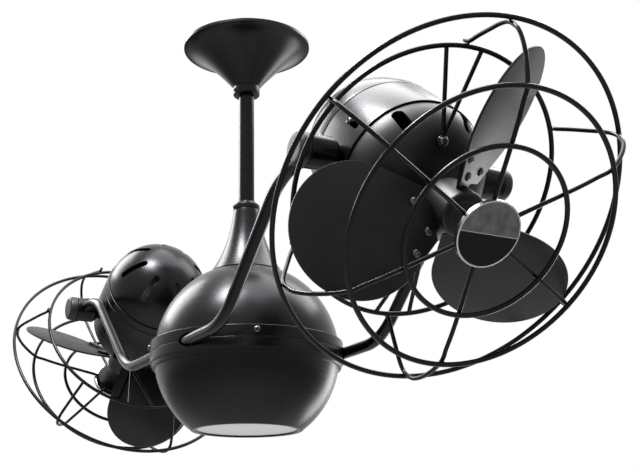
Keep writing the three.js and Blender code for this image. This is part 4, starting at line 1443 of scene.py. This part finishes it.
    def screws(self, place: Matrix) -> None:
        """Makes and dresses the screws round the band.

        Args:
            place: the head's place.
        """
        steel = self.coats.get(Coat.DARK_SCREW)
        places = [
            place @ turned(angle, "X") @ at(self.screw_along, self.radius) @ turned(-90, "X")
            for angle in BAND_SCREW_ANGLES
        ]
        made = copied(self.side.body("band_screws"), pan_head(*self.screw_head, steel), places, steel)
        dress(made, self.side.body("head"))

    def trunnion(self, arm: Arm) -> Shape:
        """A trunnion along Y: its flange in the case, its pin and the round cap outside the knuckle.

        Args:
            arm: the arm whose knuckle it passes.

        Returns:
            The trunnion's shape.
        """
        flange, thickness, within = self.flange
        wall = self.radius - self.wall - within
        knuckle_end = self.radius + self.knuckle_clear + arm.inward + arm.outward
        cap, pin = knuckle_end + GAP, arm.pin_bore - RUN_GAP
        corners = [
            (0, wall - thickness),
            (flange, wall - thickness),
            (flange, wall),
            (pin, wall),
            (pin, cap),
            (self.cap_radius, cap, 1.0),
            (self.cap_radius, cap + self.cap_length, self.cap_edge),
            (0, cap + self.cap_length),
        ]
        return Shape().lathe(rounded(corners, 8), 72, Axis.Y)


BAND_SCREW_ANGLES = (154.0, 64.0, -26.0, -116.0)  # from the head's Y axis round its shaft


def slot_shape(width: float, length: float, depth: float) -> Shape:
    """A slot with round ends, long along Y, cut through along Z.

    Args:
        width: how wide it is.
        length: its length, round ends included.
        depth: how far it goes along Z.

    Returns:
        The slot's shape.
    """
    half = (length - width) / 2
    outline = arc((0, half), width / 2, 0, 180, 12) + arc((0, -half), width / 2, 180, 360, 12)
    return Shape().prism(outline, -depth / 2, depth / 2)


# ------------------------------------------------------------------ rotor
@dataclass
class Rotor:
    """A head's turning parts: the shaft, the hub with its irons, and three blades with their screws."""

    coats: Coats
    side: Side
    clock: float
    shaft_radius: float = 6.0
    shaft: tuple[float, float, float, float] = (-84.0, -72.0, -5.0, 106.0)  # tail, journal from and to, front
    journal: float = 8.35
    hub_radius: float = 21.0
    hub_boss: float = 12.0
    hub_ends: tuple[float, float, float] = (63.0, 78.0, 114.0)  # back, end of the cone, front
    blades: int = 3
    pitch: float = 37.0
    plane: float = 98.0
    thickness: float = 2.4
    paddle: float = 60.5
    paddle_centre: float = 92.0
    paddle_turn: float = 126.0  # how far its round edge goes to either side of its tip, in degrees
    root: float = 24.0
    root_half: float = 24.0
    soft_edge: float = 0.7
    pads: tuple[tuple[float, float], ...] = ((36, -13), (31, 15), (47, 31))  # out along the blade, across it
    iron_inner: float = 14.0
    iron_width: float = 13.0
    iron_thickness: float = 3.0
    iron_step: float = 0.15  # taken off both faces of each next bar
    pad_radius: float = 8.0
    pad_turn: float = 54.0  # how far a pad's round end goes to either side of its tip, in degrees
    screw_head: tuple[float, float] = (3.8, 2.6)  # radius, height
    collar_size: tuple[float, float, float] = (0.6, 4.2, 2.4)  # from the hub's back, length, height

    def build(self) -> None:
        """Makes and dresses the turning parts."""
        place, body = self.side.place(), self.side.body("rotor")
        steel = self.coats.get(Coat.SHAFT, self.side.value, place)
        shaft = self.shaft_shape().to_object(self.side.body("shaft_turned"), place)
        dress(shaft, body, steel, [self.side.body("rotor_shaft")])
        hub = self.hub().to_object(self.side.body("hub_turned"), place)
        dress(hub, body, self.coats.get(Coat.CAST), [self.side.body("hub")])
        dress(self.collar().to_object(self.side.body("hub_collar"), place), body, steel)
        enamel = self.coats.get(Coat.BLADE)
        irons = copied(self.side.body("blade_irons"), self.iron().to_object("iron"), self.places(), enamel)
        dress(irons, body, None, [self.side.body("hub")])
        blade = self.blade().to_object("blade")
        blades = copied(self.side.body("blades"), blade, self.places(), enamel)
        nodes = [self.side.body(f"blade_{index + 1}") for index in range(self.blades)]
        dress(blades, body, None, nodes)
        self.screws(body)

    def places(self) -> list[Matrix]:
        """The blades' places, with X square to a blade, Y out from the shaft and Z across it.

        Returns:
            One place a blade.
        """
        place, lay = self.side.place(), at(self.plane) @ turned(self.pitch, "Y")
        return [place @ turn @ lay for turn in evenly_turned(self.blades, self.clock)]

    def shaft_shape(self) -> Shape:
        """The shaft, thicker where it runs in the motor.

        Returns:
            The shaft's shape.
        """
        tail, start, end, front = self.shaft
        corners = [
            (0, tail),
            (self.shaft_radius, tail, 1.0),
            (self.journal, start, 1.0),
            (self.journal, end, 1.0),
            (self.shaft_radius, end + 3, 1.0),
            (self.shaft_radius, front, 0.8),
            (0, front),
        ]
        return Shape().lathe(rounded(corners), 48, Axis.X)

    def hub(self) -> Shape:
        """The bell-shaped hub, closed in front.

        Returns:
            The hub's shape.
        """
        back, cone, front = self.hub_ends
        bore, seat = self.shaft_radius + GAP, self.shaft[3] + GAP
        corners = [
            (bore, back),
            (self.hub_boss, back, 0.8),
            (self.hub_boss + 1.5, back + 5, 4.0),
            (self.hub_radius, cone, 5.0),
            (self.hub_radius, front, 5.0),
            (self.hub_radius * 0.6, front, 0.6),
            (self.hub_radius * 0.56, front - 1.2, 0.6),
            (0, front - 1.2),
            (0, seat),
            (bore, seat),
        ]
        return Shape().lathe(rounded(corners, 8), 96, Axis.X)

    def collar(self) -> Shape:
        """The bright clamping ring at the back of the hub.

        Returns:
            The ring's shape.
        """
        behind, length, height = self.collar_size
        back, inner, outer = self.hub_ends[0] + behind, self.hub_boss - 0.4, self.hub_boss + height
        corners = [
            (inner, back),
            (outer, back, 0.8),
            (outer, back + length, 0.8),
            (inner, back + length),
        ]
        return Shape().lathe(rounded(corners), 72, Axis.X)

    def iron(self) -> Shape:
        """The three flat bars that carry a blade from behind, with a round pad under each screw.

        Returns:
            The bars' shape.
        """
        iron, back = Shape(), -(self.thickness + self.iron_thickness) / 2 - GAP
        for number, (out, across) in enumerate(self.pads):
            run = Vector((out - self.iron_inner, across))
            angle = math.degrees(math.atan2(run.y, run.x))
            half, length = self.iron_width / 2, run.length
            pad = arc((length, 0), self.pad_radius, -self.pad_turn, self.pad_turn, 12)
            outline = [(0, -half), *pad, (0, half)]
            # The bars cross near the hub, so each is a little thinner than the one before.
            lift = self.iron_thickness / 2 - self.iron_step * number
            place = at(back, self.iron_inner, 0) @ turned(angle, "X") @ FLAT
            iron.prism(outline, -lift, lift, place)
        return iron

    def blade(self) -> Shape:
        """A flat paddle with a narrower root and a softened edge.

        Returns:
            The blade's shape.
        """
        paddle = arc((self.paddle_centre, 0), self.paddle, -self.paddle_turn, self.paddle_turn, 96)
        outline = rounded([(self.root, -self.root_half, 3), *paddle, (self.root, self.root_half, 3)], 5)
        return plate_shape(outline, self.thickness, self.soft_edge, FLAT)

    def screws(self, body: str) -> None:
        """Makes and dresses the pan-head screws on the front of each blade.

        Args:
            body: the rotor's body.
        """
        steel = self.coats.get(Coat.DARK_SCREW)
        places = [
            place @ at(self.thickness / 2, out, across) @ Axis.X.value
            for place in self.places()
            for out, across in self.pads
        ]
        made = copied(self.side.body("blade_screws"), pan_head(*self.screw_head, steel), places, steel)
        dress(made, body)


# From a flat outline's own axes to a blade's: X goes out, Y across, and its thickness square to both.
FLAT = Matrix(((0, 0, 1), (1, 0, 0), (0, 1, 0))).to_4x4()


def plate_shape(outline: Profile, thickness: float, soft: float, place: Matrix) -> Shape:
    """A flat plate whose edge is softened all round.

    Args:
        outline: its outline, anticlockwise.
        thickness: its thickness, half of it on either side of Z = 0.
        soft: how far in the softened edge starts.
        place: where it goes.

    Returns:
        The plate.
    """
    made, half = Shape(), thickness / 2
    upper = [(0.0, half * 0.4), (soft * 0.3, half * 0.85), (soft, half)]
    levels = [(inset, -height) for inset, height in reversed(upper)] + upper
    count = len(outline)
    for inset, height in levels:
        for index, (x, y) in enumerate(outline):
            ahead = Vector(outline[(index + 1) % count]) - Vector(outline[index - 1])
            inward = Vector((-ahead.y, ahead.x)).normalized() * inset
            made.points.append(place @ Vector((x + inward.x, y + inward.y, height)))
    for level in range(len(levels) - 1):
        low, high = level * count, (level + 1) * count
        for index in range(count):
            after = (index + 1) % count
            made.faces.append((low + index, low + after, high + after, high + index))
    made.faces.append(tuple(range(count - 1, -1, -1)))
    last = (len(levels) - 1) * count
    made.faces.append(tuple(range(last, last + count)))
    return made


# ------------------------------------------------------------------ cage
class Ring(Enum):
    """The cage's rings: the radius, and how far ahead of the tilt axis."""

    REAR = (129.7, 45.8)
    OUTER = (167.9, 95.8)
    MIDDLE = (125.2, 149.1)
    INNER = (76.0, 151.9)


@dataclass
class Cage:
    """A head's cage: four rings, six wires across them, the plate in the middle, and two V braces."""

    coats: Coats
    side: Side
    clock: float
    ring_wire: float = 2.3
    wire: float = 2.0
    wires: int = 6
    plate_radius: float = 26.0
    plate_thickness: float = 5.0
    brace_angles: tuple[float, float] = (101.0, -79.0)
    brace_spread: float = 8.0
    brace_lean: float = 6.0  # how far the middle of a brace's legs is turned back from its eyelet
    brace_radius: float = 46.0  # from the shaft to an eyelet
    eyelet: tuple[float, float, float] = (2.6, 5.5, 4.0)  # bore, radius, height
    screw_head: tuple[float, float] = (4.0, 2.6)  # radius, height
    washer: tuple[float, float] = (5.2, 0.8)  # radius, thickness
    stud: tuple[float, float] = (2.2, 2.0)  # radius, how deep it goes into the dome
    wire_sides: int = 12
    wire_stations: int = 110

    @property
    def weld(self) -> float:
        """From a ring's middle to the middle of a wire that passes it."""
        return self.ring_wire + self.wire + GAP

    def build(self, motor: Motor) -> None:
        """Makes and dresses the cage.

        Args:
            motor: the motor whose front dome the braces stand on.
        """
        place, body = self.side.place(), self.side.body("head")
        enamel = self.coats.get(Coat.WIRE)
        for ring in (Ring.OUTER, Ring.MIDDLE, Ring.INNER):
            name = self.side.body(f"ring_{ring.name.lower()}")
            made = self.ring(ring).to_object(name + "_wire", place)
            dress(made, body, enamel, [name])
        rear = self.ring(Ring.REAR).to_object("rear", place)
        rear.data.materials.append(enamel)
        braces = self.braces(motor, place, enamel)
        node = self.side.body("ring_rear")
        dress(joined(node + "_wire", [rear, *braces]), body, None, [node])
        self.basket(place, body, enamel)
        self.beads(place, body, enamel)
        self.eyelet_screws(motor, place, body)

    def ring(self, ring: Ring) -> Shape:
        """One ring of round wire."""
        section = arc(ring.value, self.ring_wire, 0, 360, 14)[:-1]
        return Shape().lathe(section, 180, Axis.X)

    def stations(self) -> list[tuple[float, float]]:
        """A crossing wire's points, as (distance from the shaft, along it).

        Returns:
            The points, from the plate outwards and back.
        """
        rear, outer, middle, inner = (ring.value for ring in Ring)
        # Named points touch the rings. Those between them follow the photograph's curve.
        face = inner[1] - self.weld
        shoulder = (middle[0] - self.weld * 0.3, middle[1] - self.weld * 0.98)
        apex = (outer[0] - self.weld, outer[1] + 7)
        flank = (apex[0], apex[1] - 9)
        back = (rear[0] + self.weld * 1.06, rear[1] + self.weld * 0.2)
        front = [(self.plate_radius / 2, face), (34, face), (55, face), (inner[0], face), (95, face - 0.45)]
        outwards = ((0.36, 0.2), (0.7, 0.48), (0.93, 0.77))
        backwards = ((0.15, 0.22), (0.4, 0.46), (0.72, 0.76))
        return [
            *front,
            (shoulder[0] - 12, shoulder[1] + 0.9),
            shoulder,
            *(between(shoulder, apex, *shares) for shares in outwards),
            apex,
            flank,
            *(between(flank, back, *shares) for shares in backwards),
            back,
            (back[0] - 1, back[1] - 7),
        ]

    def basket(self, place: Matrix, body: str, enamel: bpy.types.Material) -> None:
        """Makes and dresses the six wires and the plate that they meet on.

        Args:
            place: the head's place.
            body: the head's body.
            enamel: the wires' material.
        """
        stations = [Vector((along, across, 0)) for across, along in self.stations()]
        turns = evenly_turned(self.wires, self.clock)
        made = path_object("wires", [[place @ turn @ station for station in stations] for turn in turns])
        size = {"radius": self.wire * MM, "stations": self.wire_stations, "sides": self.wire_sides}
        Tool.WIRE.value.run(made, **size, material=enamel)
        front = Ring.INNER.value[1] - self.weld + self.plate_thickness / 2
        back = front - self.plate_thickness
        corners = [(0, back), (self.plate_radius, back, 1.2), (self.plate_radius, front, 1.2), (0, front)]
        plate = Shape().lathe(rounded(corners), 96, Axis.X).to_object("plate", place)
        plate.data.materials.append(enamel)
        name = self.side.body("wire_basket")
        dress(joined(name + "_wires", [made, plate]), body, None, [name])

    def beads(self, place: Matrix, body: str, enamel: bpy.types.Material) -> None:
        """Makes and dresses the weld bead between each ring and each wire.

        Args:
            place: the head's place.
            body: the head's body.
            enamel: the beads' material.
        """
        half = self.weld / 2
        spots = [
            (Ring.REAR.value[0] + half, Ring.REAR.value[1] + 0.4, 90.0),
            (Ring.OUTER.value[0] - half, Ring.OUTER.value[1], 90.0),
            (Ring.MIDDLE.value[0] - 0.7, Ring.MIDDLE.value[1] - half, 0.0),
            (Ring.INNER.value[0], Ring.INNER.value[1] - half, 0.0),
        ]
        places = [
            place @ turn @ at(along, radius) @ turned(tilt, "Z")
            for turn in evenly_turned(self.wires, self.clock)
            for radius, along, tilt in spots
        ]
        # The bead is waisted, with its wide ends on the ring and on the wire.
        profile = [(0, -half), (1.9, -half * 0.85), (1.25, -0.5), (1.25, 0.5), (1.9, half * 0.85), (0, half)]
        bead = Shape().lathe(profile, 12, Axis.X).to_object("weld_bead", None, 80)
        made = copied(self.side.body("weld_beads"), bead, places, enamel)
        dress(made, body)

    def foot(self, motor: Motor, angle: float) -> Matrix:
        """The place on the front dome where a brace's eyelet stands, with Z square to the dome.

        Args:
            motor: the motor whose front dome it stands on.
            angle: the brace's angle round the shaft, in degrees.

        Returns:
            The place, on the head.
        """
        depth, rise = motor.nose_end - motor.band_end, motor.dome_radius - motor.nose_radius
        rise_share = (self.brace_radius - motor.nose_radius) / rise
        depth_share = math.sqrt(1 - rise_share**2)
        tilt = math.degrees(math.atan2(depth_share / depth, rise_share / rise))
        along = motor.band_end + depth * depth_share
        return turned(angle - 90, "X") @ at(along, 0, self.brace_radius) @ turned(tilt, "Y")

    def braces(self, motor: Motor, place: Matrix, enamel: bpy.types.Material) -> list[bpy.types.Object]:
        """Makes the two V braces between the rear ring and the front dome, each with its eyelet.

        Args:
            motor: the motor that they stand on.
            place: the head's place.
            enamel: their material.

        Returns:
            The legs and the eyelets.
        """
        bore, radius, height = self.eyelet
        legs, eyelets = [], Shape()
        for angle in self.brace_angles:
            foot = self.foot(motor, angle)
            middle = foot @ Vector((0, 0, GAP + height / 2))
            lift = turned(angle - 90, "X") @ Vector((0, 0, radius * 0.75))
            for side in (1, -1):
                end = math.radians(angle + side * self.brace_spread - self.brace_lean)
                distance, along = Ring.REAR.value
                weld = Vector((along, distance * math.cos(end), distance * math.sin(end)))
                legs.append([place @ (middle + lift), place @ weld])
            top = GAP + height
            corners = [(bore, GAP, 0.8), (radius, GAP, 1.6), (radius, top, 1.6), (bore, top, 0.8)]
            eyelets.lathe(rounded(corners, 5), 36, Axis.Z, foot)
        rods = path_object("brace_legs", legs)
        size = {"radius": self.wire * MM, "bend": 0.0, "sides": self.wire_sides}
        Tool.BAR.value.run(rods, **size, material=enamel)
        rings = eyelets.to_object("brace_eyelets", place)
        rings.data.materials.append(enamel)
        return [rods, rings]

    def eyelet_screws(self, motor: Motor, place: Matrix, body: str) -> None:
        """Makes and dresses the screw with a washer in each eyelet.

        Args:
            motor: the motor that the eyelets stand on.
            place: the head's place.
            body: the head's body.
        """
        steel = self.coats.get(Coat.DARK_SCREW)
        top = GAP + self.eyelet[2]
        places = [place @ self.foot(motor, angle) @ at(0, 0, top) for angle in self.brace_angles]
        head = pan_head(*self.screw_head, steel)
        (radius, thickness), (stud, depth) = self.washer, self.stud
        washer = [(0, 0), (radius, 0, 0.2), (radius, thickness, 0.3), (0, thickness)]
        parts = Shape().lathe(rounded(washer), 36)
        parts.lathe([(0, -top - depth), (stud, -top - depth), (stud, 0), (0, 0)], 16)
        under = parts.to_object("washer")
        under.data.materials.append(steel)
        head.data.transform(at(0, 0, thickness * MM))
        screw = joined("eyelet_screw", [under, head])
        made = copied(self.side.body("eyelet_screws"), screw, places, steel)
        dress(made, body)


def between(start: Sequence[float], end: Sequence[float], across: float, along: float) -> tuple[float, float]:
    """A point between two others of a profile, at its own share of the way across and along."""
    return start[0] + (end[0] - start[0]) * across, start[1] + (end[1] - start[1]) * along


# ------------------------------------------------------------------ plate in the middle of the cage
@dataclass
class FrontPlate:
    """The round plate in front of the cage: a bright rim round a satin half and an enamelled half."""

    coats: Coats
    side: Side
    radius: float = 30.0
    rim: float = 1.5
    thickness: float = 5.0
    edge: float = 1.5
    floor: float = 0.8  # how deep the face inside the rim lies
    line: float = 0.8  # degrees from the dividing line's middle to a half

    def build(self, cage: Cage) -> None:
        """Makes and dresses the plate.

        Args:
            cage: the cage whose own plate it is fixed to.
        """
        place, body, name = self.side.place(), self.side.body("head"), self.side.body("badge")
        back = Ring.INNER.value[1] - cage.weld + cage.plate_thickness / 2 + GAP
        front, inside = back + self.thickness, self.radius - self.rim
        corners = [
            (0, back),
            (self.radius, back, 0.6),
            (self.radius, front - 0.3, self.edge),
            (inside + 0.3, front - 0.1, 0.3),
            (inside, front - self.floor),
            (0, front - self.floor),
        ]
        rim = Shape().lathe(rounded(corners, 6), 128, Axis.X).to_object(name + "_rim", place)
        dress(rim, body, self.coats.get(Coat.SCREW), [name])
        halves = (
            (90, "brushed_half", "brushed_steel", self.coats.get(Coat.PLATE, self.side.value, place)),
            (-90, "enamelled_half", "satin_black", self.coats.get(Coat.ENAMEL)),
        )
        for start, label, slot, paint in halves:
            outline = arc((0, 0), inside - 0.2, start + self.line, start + 180 - self.line, 64)
            half = Shape().prism(outline, front - self.floor - 0.1, front - 0.35, Axis.X.value)
            dress(half.to_object(f"{name}_{label}", place), body, paint, [name])


# ------------------------------------------------------------------ studio
Direction = tuple[float, float, float]


@dataclass
class Studio:
    """The pale floor, the soft lights, the white surroundings and the camera."""

    camera: tuple[float, float, float] = (1168.7, -562.5, -650.3)
    heading: float = 64.3  # degrees, from the -Y direction
    rise: float = 17.2  # how far the camera looks up, in degrees
    lens: float = 63.5625
    shift: float = 0.1148
    sensor: float = 36.0
    view_range: tuple[float, float] = (10.0, 50000.0)  # the nearest and farthest that the camera sees
    floor: float = -1950.0
    floor_reach: float = 12000.0
    floor_thickness: float = 20.0
    floor_white: float = 0.5  # how far the floor is brought to white where the camera sees it
    surroundings: float = 0.45  # the white surroundings' light on the object, of a full 1
    # For each lamp: its direction from the globe as the camera sees it (right, up, towards it), how far
    # away it is, its width and height, and the light that it gives on a surface square to it.
    lamps: tuple[tuple[str, Direction, float, float, float, float], ...] = (
        ("key", (-0.27, 0.96, 0.06), 1200, 360, 360, 2.6),
        ("overhead", (0.10, 0.97, -0.24), 1200, 1020, 1020, 1.5),
        ("side", (0.69, -0.43, -0.58), 1900, 600, 1200, 0.35),
        ("right", (0.61, 0.63, -0.48), 1500, 700, 700, 0.5),
        ("rear", (-0.62, 0.45, -0.64), 1800, 800, 900, 0.7),
    )

    @property
    def axes(self) -> tuple[Vector, Vector, Vector]:
        """The camera's right, up and backward directions.

        Returns:
            The three directions.
        """
        turn, rise = math.radians(self.heading), math.radians(self.rise)
        ahead = Vector((-math.sin(turn) * math.cos(rise), math.cos(turn) * math.cos(rise), math.sin(rise)))
        right = ahead.cross(Vector((0, 0, 1))).normalized()
        return right, right.cross(ahead), -ahead

    def build(self, globe: Globe) -> None:
        """Makes the studio.

        Args:
            globe: the globe, which the lamps point at.
        """
        scene = bpy.context.scene
        scene.view_settings.view_transform = "Standard"
        self.stand()
        self.surround(scene)
        for lamp in self.lamps:
            self.light(Vector((0, 0, globe.centre)), *lamp)
        self.look(scene)

    def stand(self) -> None:
        """The floor, of pale matt paint."""
        reach = self.floor_reach
        outline = [(-reach, -reach), (reach, -reach), (reach, reach), (-reach, reach)]
        made = Shape().prism(outline, self.floor - self.floor_thickness, self.floor).to_object("studio_floor")
        finish = Finish("matt_floor_paint", "#f2f2f1", "#efefee", 0.0, 0.7, 0.05, 3.0, 0.02, specular=0.2)
        paint = finish.build(finish.name, Matrix.Identity(4))
        self.pale(paint.node_tree)
        made.data.materials.append(paint)

    def pale(self, tree: bpy.types.NodeTree) -> None:
        """Brings the floor nearer to white where the camera sees it, with no more light on the object.

        Args:
            tree: the floor's material.
        """
        ends = (node for node in tree.nodes if node.bl_idname == "ShaderNodeOutputMaterial")
        end = next(ends).inputs["Surface"]
        skin = end.links[0].from_socket
        white = add_node(tree, "ShaderNodeEmission", None, {"Strength": 1.0}).outputs[0]
        seen = add_node(tree, "ShaderNodeLightPath").outputs["Is Camera Ray"]
        share = add_node(tree, "ShaderNodeMath", {"operation": "MULTIPLY"}, {1: self.floor_white}, {0: seen})
        mixed = add_node(tree, "ShaderNodeMixShader", None, None, {0: share.outputs[0], 1: skin, 2: white})
        tree.links.new(mixed.outputs[0], end)

    def surround(self, scene: bpy.types.Scene) -> None:
        """The surroundings: white where they are seen or mirrored, and softer as light on the object.

        Args:
            scene: the scene that they go round.
        """
        world = bpy.data.worlds.new("white_surroundings")
        world.use_nodes = True
        tree = world.node_tree
        tree.nodes.clear()
        ray = add_node(tree, "ShaderNodeLightPath").outputs
        either = {"operation": "MAXIMUM"}
        seen = add_node(
            tree, "ShaderNodeMath", either, None, {0: ray["Is Camera Ray"], 1: ray["Is Glossy Ray"]}
        ).outputs[0]
        shown = add_node(
            tree, "ShaderNodeMath", either, None, {0: seen, 1: ray["Is Transmission Ray"]}
        ).outputs[0]
        levels = {"To Min": self.surroundings, "To Max": 1.0}
        strength = add_node(tree, "ShaderNodeMapRange", None, levels, {"Value": shown}).outputs[0]
        white = add_node(
            tree, "ShaderNodeBackground", None, {"Color": (1, 1, 1, 1)}, {"Strength": strength}
        ).outputs[0]
        add_node(tree, "ShaderNodeOutputWorld", None, None, {"Surface": white})
        scene.world = world

    def light(
        self,
        target: Vector,
        name: str,
        direction: Direction,
        distance: float,
        width: float,
        height: float,
        level: float,
    ) -> None:
        """Puts up one soft lamp.

        Args:
            target: what it points at.
            name: its name.
            direction: from the target to it, as the camera sees it.
            distance: how far away it is.
            width: its width.
            height: its height.
            level: the light it gives on a white surface square to it, where 1 is enough to show it white.
        """
        way = sum((axis * share for axis, share in zip(self.axes, direction)), Vector()).normalized()
        lamp = bpy.data.lights.new(name, "AREA")
        lamp.shape = "RECTANGLE"
        lamp.size, lamp.size_y = width * MM, height * MM
        lamp.energy = level * math.pi**2 * (distance * MM) ** 2
        made = bpy.data.objects.new(name, lamp)
        turn = way.to_track_quat("Z", "Y").to_matrix().to_4x4()
        made.matrix_world = Matrix.Translation((target + way * distance) * MM) @ turn
        bpy.context.scene.collection.objects.link(made)

    def look(self, scene: bpy.types.Scene) -> None:
        """Puts the camera where the photograph was taken from.

        Args:
            scene: the scene that it is the camera of.
        """
        lens = bpy.data.cameras.new("camera")
        lens.lens, lens.sensor_width, lens.shift_x = self.lens, self.sensor, self.shift
        lens.clip_start, lens.clip_end = (distance * MM for distance in self.view_range)
        made = bpy.data.objects.new("camera", lens)
        turn = Matrix(self.axes).transposed().to_4x4()
        made.matrix_world = Matrix.Translation(Vector(self.camera) * MM) @ turn
        scene.collection.objects.link(made)
        scene.camera = made


# How far the cage's first wire and the first blade are turned round each head's shaft, in degrees.
WIRE_CLOCK = {Side.RIGHT: 34.0, Side.LEFT: 14.0}
BLADE_CLOCK = {Side.RIGHT: 81.0, Side.LEFT: 16.0}


def main() -> None:
    """Builds the fan's sub-assemblies in order, and the studio."""
    logging.basicConfig(level=logging.INFO, format="%(name)s %(message)s")
    coats = Coats()
    Hanger(coats).build()
    globe = Globe(coats)
    globe.build()
    arms = [Arm(coats, end, side) for end in (1, -1) for side in (-1, 1)]
    for arm in arms:
        arm.build(globe)
    for side in Side:
        motor = Motor(coats, side)
        motor.build(arms[0])
        Rotor(coats, side, BLADE_CLOCK[side]).build()
        cage = Cage(coats, side, WIRE_CLOCK[side])
        cage.build(motor)
        FrontPlate(coats, side).build(cage)
    Studio().build(globe)
    bpy.context.view_layer.update()


if __name__ == "__main__":
    main()
